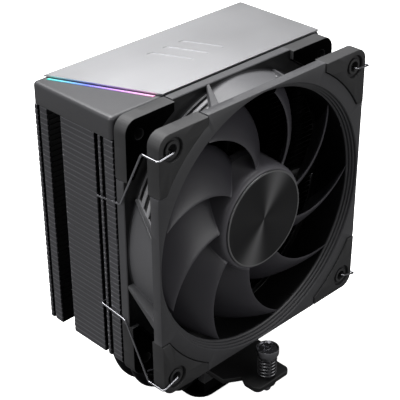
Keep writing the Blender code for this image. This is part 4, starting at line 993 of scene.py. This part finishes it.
def build_stage(sizes, look):
    """Pale floor, soft lights and the camera."""
    grid = np.linspace(-3.0, 3.0, 2)
    points = [(x, y, -0.0005) for y in grid for x in grid]
    mesh = bpy.data.meshes.new("floor")
    mesh.from_pydata(points, [], [(0, 1, 3, 2)])
    floor = bpy.data.objects.new("floor", mesh)
    bpy.context.scene.collection.objects.link(floor)
    pale = Finish("floor_paper", (0.3, 0.3, 0.3), 0.9, 0.0, 0.0)
    seen = pale.tree.nodes.new("ShaderNodeLightPath").outputs["Is Camera Ray"]
    pale.tint(seen, (0.97, 0.97, 0.97))
    pale.tint(noise(pale.tree, 30.0, 3.0), (1.0, 1.0, 1.0), 0.1)
    pale.shader.inputs["Emission Color"].default_value = (1.0, 1.0, 1.0, 1.0)
    pale.tree.links.new(maths(pale.tree, "MULTIPLY", seen, sizes.floor_glow),
                        pale.shader.inputs["Emission Strength"])
    mesh.materials.append(pale.material)

    world = bpy.data.worlds.new("studio")
    world.use_nodes = True
    world.node_tree.nodes["Background"].inputs["Color"].default_value = (1.0, 1.0, 1.0, 1.0)
    world.node_tree.nodes["Background"].inputs["Strength"].default_value = sizes.world_light
    bpy.context.scene.world = world
    target = Vector((0.0, 0.0, 0.08))
    for name, place, size, power in (("top", (0.05, 0.25, 0.9), 0.9, sizes.top_light),
                                     ("left", (-0.8, 0.1, 0.5), 0.5, sizes.side_light),
                                     ("front", (0.35, -0.9, 0.35), 0.6, sizes.front_light)):
        lamp = bpy.data.lights.new(name, "AREA")
        lamp.size, lamp.energy = size, power
        obj = bpy.data.objects.new(name, lamp)
        obj.location = place
        obj.rotation_euler = (target - Vector(place)).to_track_quat("-Z", "Y").to_euler()
        bpy.context.scene.collection.objects.link(obj)

    camera = bpy.data.cameras.new("camera")
    camera.lens, camera.sensor_width = 107.36, 36.0
    camera.clip_start, camera.clip_end = 0.01, 20.0
    obj = bpy.data.objects.new("camera", camera)
    obj.location = (-0.31543, -0.32353, 0.35455)
    yaw, pitch, roll = math.radians(44.492), math.radians(-30.312), math.radians(-0.291)
    ahead = Vector((math.sin(yaw) * math.cos(pitch), math.cos(yaw) * math.cos(pitch), math.sin(pitch)))
    turn = ahead.to_track_quat("-Z", "Y").to_matrix() @ Matrix.Rotation(roll, 3, "Z")
    obj.rotation_euler = turn.to_euler()
    bpy.context.scene.collection.objects.link(obj)
    bpy.context.scene.camera = obj
    bpy.context.scene.view_settings.view_transform = "Standard"


# ---------------------------------------------------------------- add-on

def length(name, text, value):
    """A length property in metres."""
    return bpy.props.FloatProperty(name=name, description=text, default=value, unit="LENGTH", min=0.0)


def tone(name, text, value):
    """A colour property."""
    return bpy.props.FloatVectorProperty(name=name, description=text, default=value, size=3,
                                         subtype="COLOR_GAMMA", min=0.0, max=1.0)


class CoolerSizes(bpy.types.PropertyGroup):
    """Sizes and light levels a user would change."""
    edge_radius: length("Edge radius", "Rounding of moulded and pressed edges", 0.35 * MM)
    cover_radius: length("Cover radius", "Rounding of the cover's upper edges", 1.7 * MM)
    blade_thickness: length("Blade thickness", "Greatest thickness of a blade", 1.5 * MM)
    wire_radius: length("Wire radius", "Radius of the clip wire", 0.42 * MM)
    wire_bend: length("Wire bend", "Length of a rounded corner of the clip wire", 1.1 * MM)
    floor_glow: bpy.props.FloatProperty(name="Floor glow", description="Light the camera sees on the floor",
                                        default=0.9)
    world_light: bpy.props.FloatProperty(name="World light", description="Even light all round", default=0.16)
    top_light: bpy.props.FloatProperty(name="Top light", description="Power of the top light", default=19.0,
                                       unit="POWER")
    side_light: bpy.props.FloatProperty(name="Side light", description="Power of the left light", default=4.0,
                                        unit="POWER")
    front_light: bpy.props.FloatProperty(name="Front light", description="Power of the front light",
                                         default=3.0, unit="POWER")


class CoolerColours(bpy.types.PropertyGroup):
    """Display colours a user would change."""
    frame: tone("Frame", "Fan frame plastic", (0.2, 0.2, 0.21))
    pad: tone("Pads", "Corner pads", (0.14, 0.14, 0.145))
    blade: tone("Blades", "Blades and hub", (0.22, 0.215, 0.235))
    cover: tone("Cover", "Cover shell", (0.205, 0.205, 0.215))
    fin: tone("Fins", "Fin sheet", (0.4, 0.4, 0.415))
    plate: tone("Plate", "Top plate", (0.69, 0.69, 0.7))
    cap: tone("Hub disc", "Turned disc on the hub", (0.21, 0.21, 0.215))
    glow_back: tone("Light, rear", "Light strip at its rear end", (0.25, 0.78, 0.72))
    glow_deep: tone("Light, third quarter", "Light strip behind its middle", (0.3, 0.36, 0.85))
    glow_middle: tone("Light, second quarter", "Light strip before its middle", (0.62, 0.42, 0.82))
    glow_front: tone("Light, front", "Light strip at its front end", (0.93, 0.6, 0.78))


def run_step(context, builder):
    """Call one builder with the scene's sizes and finishes."""
    builder(context.scene.cooler_sizes, finishes(context.scene.cooler_colours))
    return {"FINISHED"}


class COOLER_OT_block(bpy.types.Operator):
    """Build the finned block, pipes, bar and bolts"""
    bl_idname = "cooler.block"
    bl_label = "Finned block"

    def execute(self, context):
        return run_step(context, build_block)


class COOLER_OT_cover(bpy.types.Operator):
    """Build the cover and the light strip"""
    bl_idname = "cooler.cover"
    bl_label = "Cover"

    def execute(self, context):
        return run_step(context, build_cover)


class COOLER_OT_screws(bpy.types.Operator):
    """Build the spring screws, springs and rings"""
    bl_idname = "cooler.screws"
    bl_label = "Spring screws"

    def execute(self, context):
        return run_step(context, build_spring_screws)


class COOLER_OT_frame(bpy.types.Operator):
    """Build the fan frame"""
    bl_idname = "cooler.frame"
    bl_label = "Fan frame"

    def execute(self, context):
        return run_step(context, build_fan_frame)


class COOLER_OT_pads(bpy.types.Operator):
    """Build the eight corner pads"""
    bl_idname = "cooler.pads"
    bl_label = "Corner pads"

    def execute(self, context):
        return run_step(context, build_pads)


class COOLER_OT_impeller(bpy.types.Operator):
    """Build the blades, hub and hub disc"""
    bl_idname = "cooler.impeller"
    bl_label = "Impeller"

    def execute(self, context):
        return run_step(context, build_impeller)


class COOLER_OT_clips(bpy.types.Operator):
    """Build the two wire clips"""
    bl_idname = "cooler.clips"
    bl_label = "Wire clips"

    def execute(self, context):
        return run_step(context, build_clips)


class COOLER_OT_inner(bpy.types.Operator):
    """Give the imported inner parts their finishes"""
    bl_idname = "cooler.inner"
    bl_label = "Inner parts"

    def execute(self, context):
        return run_step(context, dress_inner)


class COOLER_OT_stage(bpy.types.Operator):
    """Build the floor, lights and camera"""
    bl_idname = "cooler.stage"
    bl_label = "Stage"

    def execute(self, context):
        return run_step(context, build_stage)


STEPS = (COOLER_OT_stage, COOLER_OT_block, COOLER_OT_cover, COOLER_OT_screws, COOLER_OT_frame,
         COOLER_OT_pads, COOLER_OT_impeller, COOLER_OT_clips, COOLER_OT_inner)


class COOLER_PT_panel(bpy.types.Panel):
    """Sizes, colours and building steps"""
    bl_idname = "COOLER_PT_panel"
    bl_label = "Tower Cooler"
    bl_space_type = "VIEW_3D"
    bl_region_type = "UI"
    bl_category = "Cooler"

    def draw(self, context):
        layout = self.layout
        for group in (context.scene.cooler_sizes, context.scene.cooler_colours):
            box = layout.box()
            for name in group.__annotations__:
                box.prop(group, name)
        for step in STEPS:
            layout.operator(step.bl_idname)


CLASSES = (CoolerSizes, CoolerColours, *STEPS, COOLER_PT_panel)


def register():
    """Register the classes and hang the property groups on the scene."""
    for cls in CLASSES:
        bpy.utils.register_class(cls)
    bpy.types.Scene.cooler_sizes = bpy.props.PointerProperty(type=CoolerSizes)
    bpy.types.Scene.cooler_colours = bpy.props.PointerProperty(type=CoolerColours)


def unregister():
    """Undo register."""
    del bpy.types.Scene.cooler_colours
    del bpy.types.Scene.cooler_sizes
    for cls in reversed(CLASSES):
        bpy.utils.unregister_class(cls)


def main():
    """Register and build every piece in order."""
    register()
    for step in STEPS:
        group, name = step.bl_idname.split(".")
        getattr(getattr(bpy.ops, group), name)()
    bpy.context.view_layer.update()


if __name__ == "__main__":
    main()
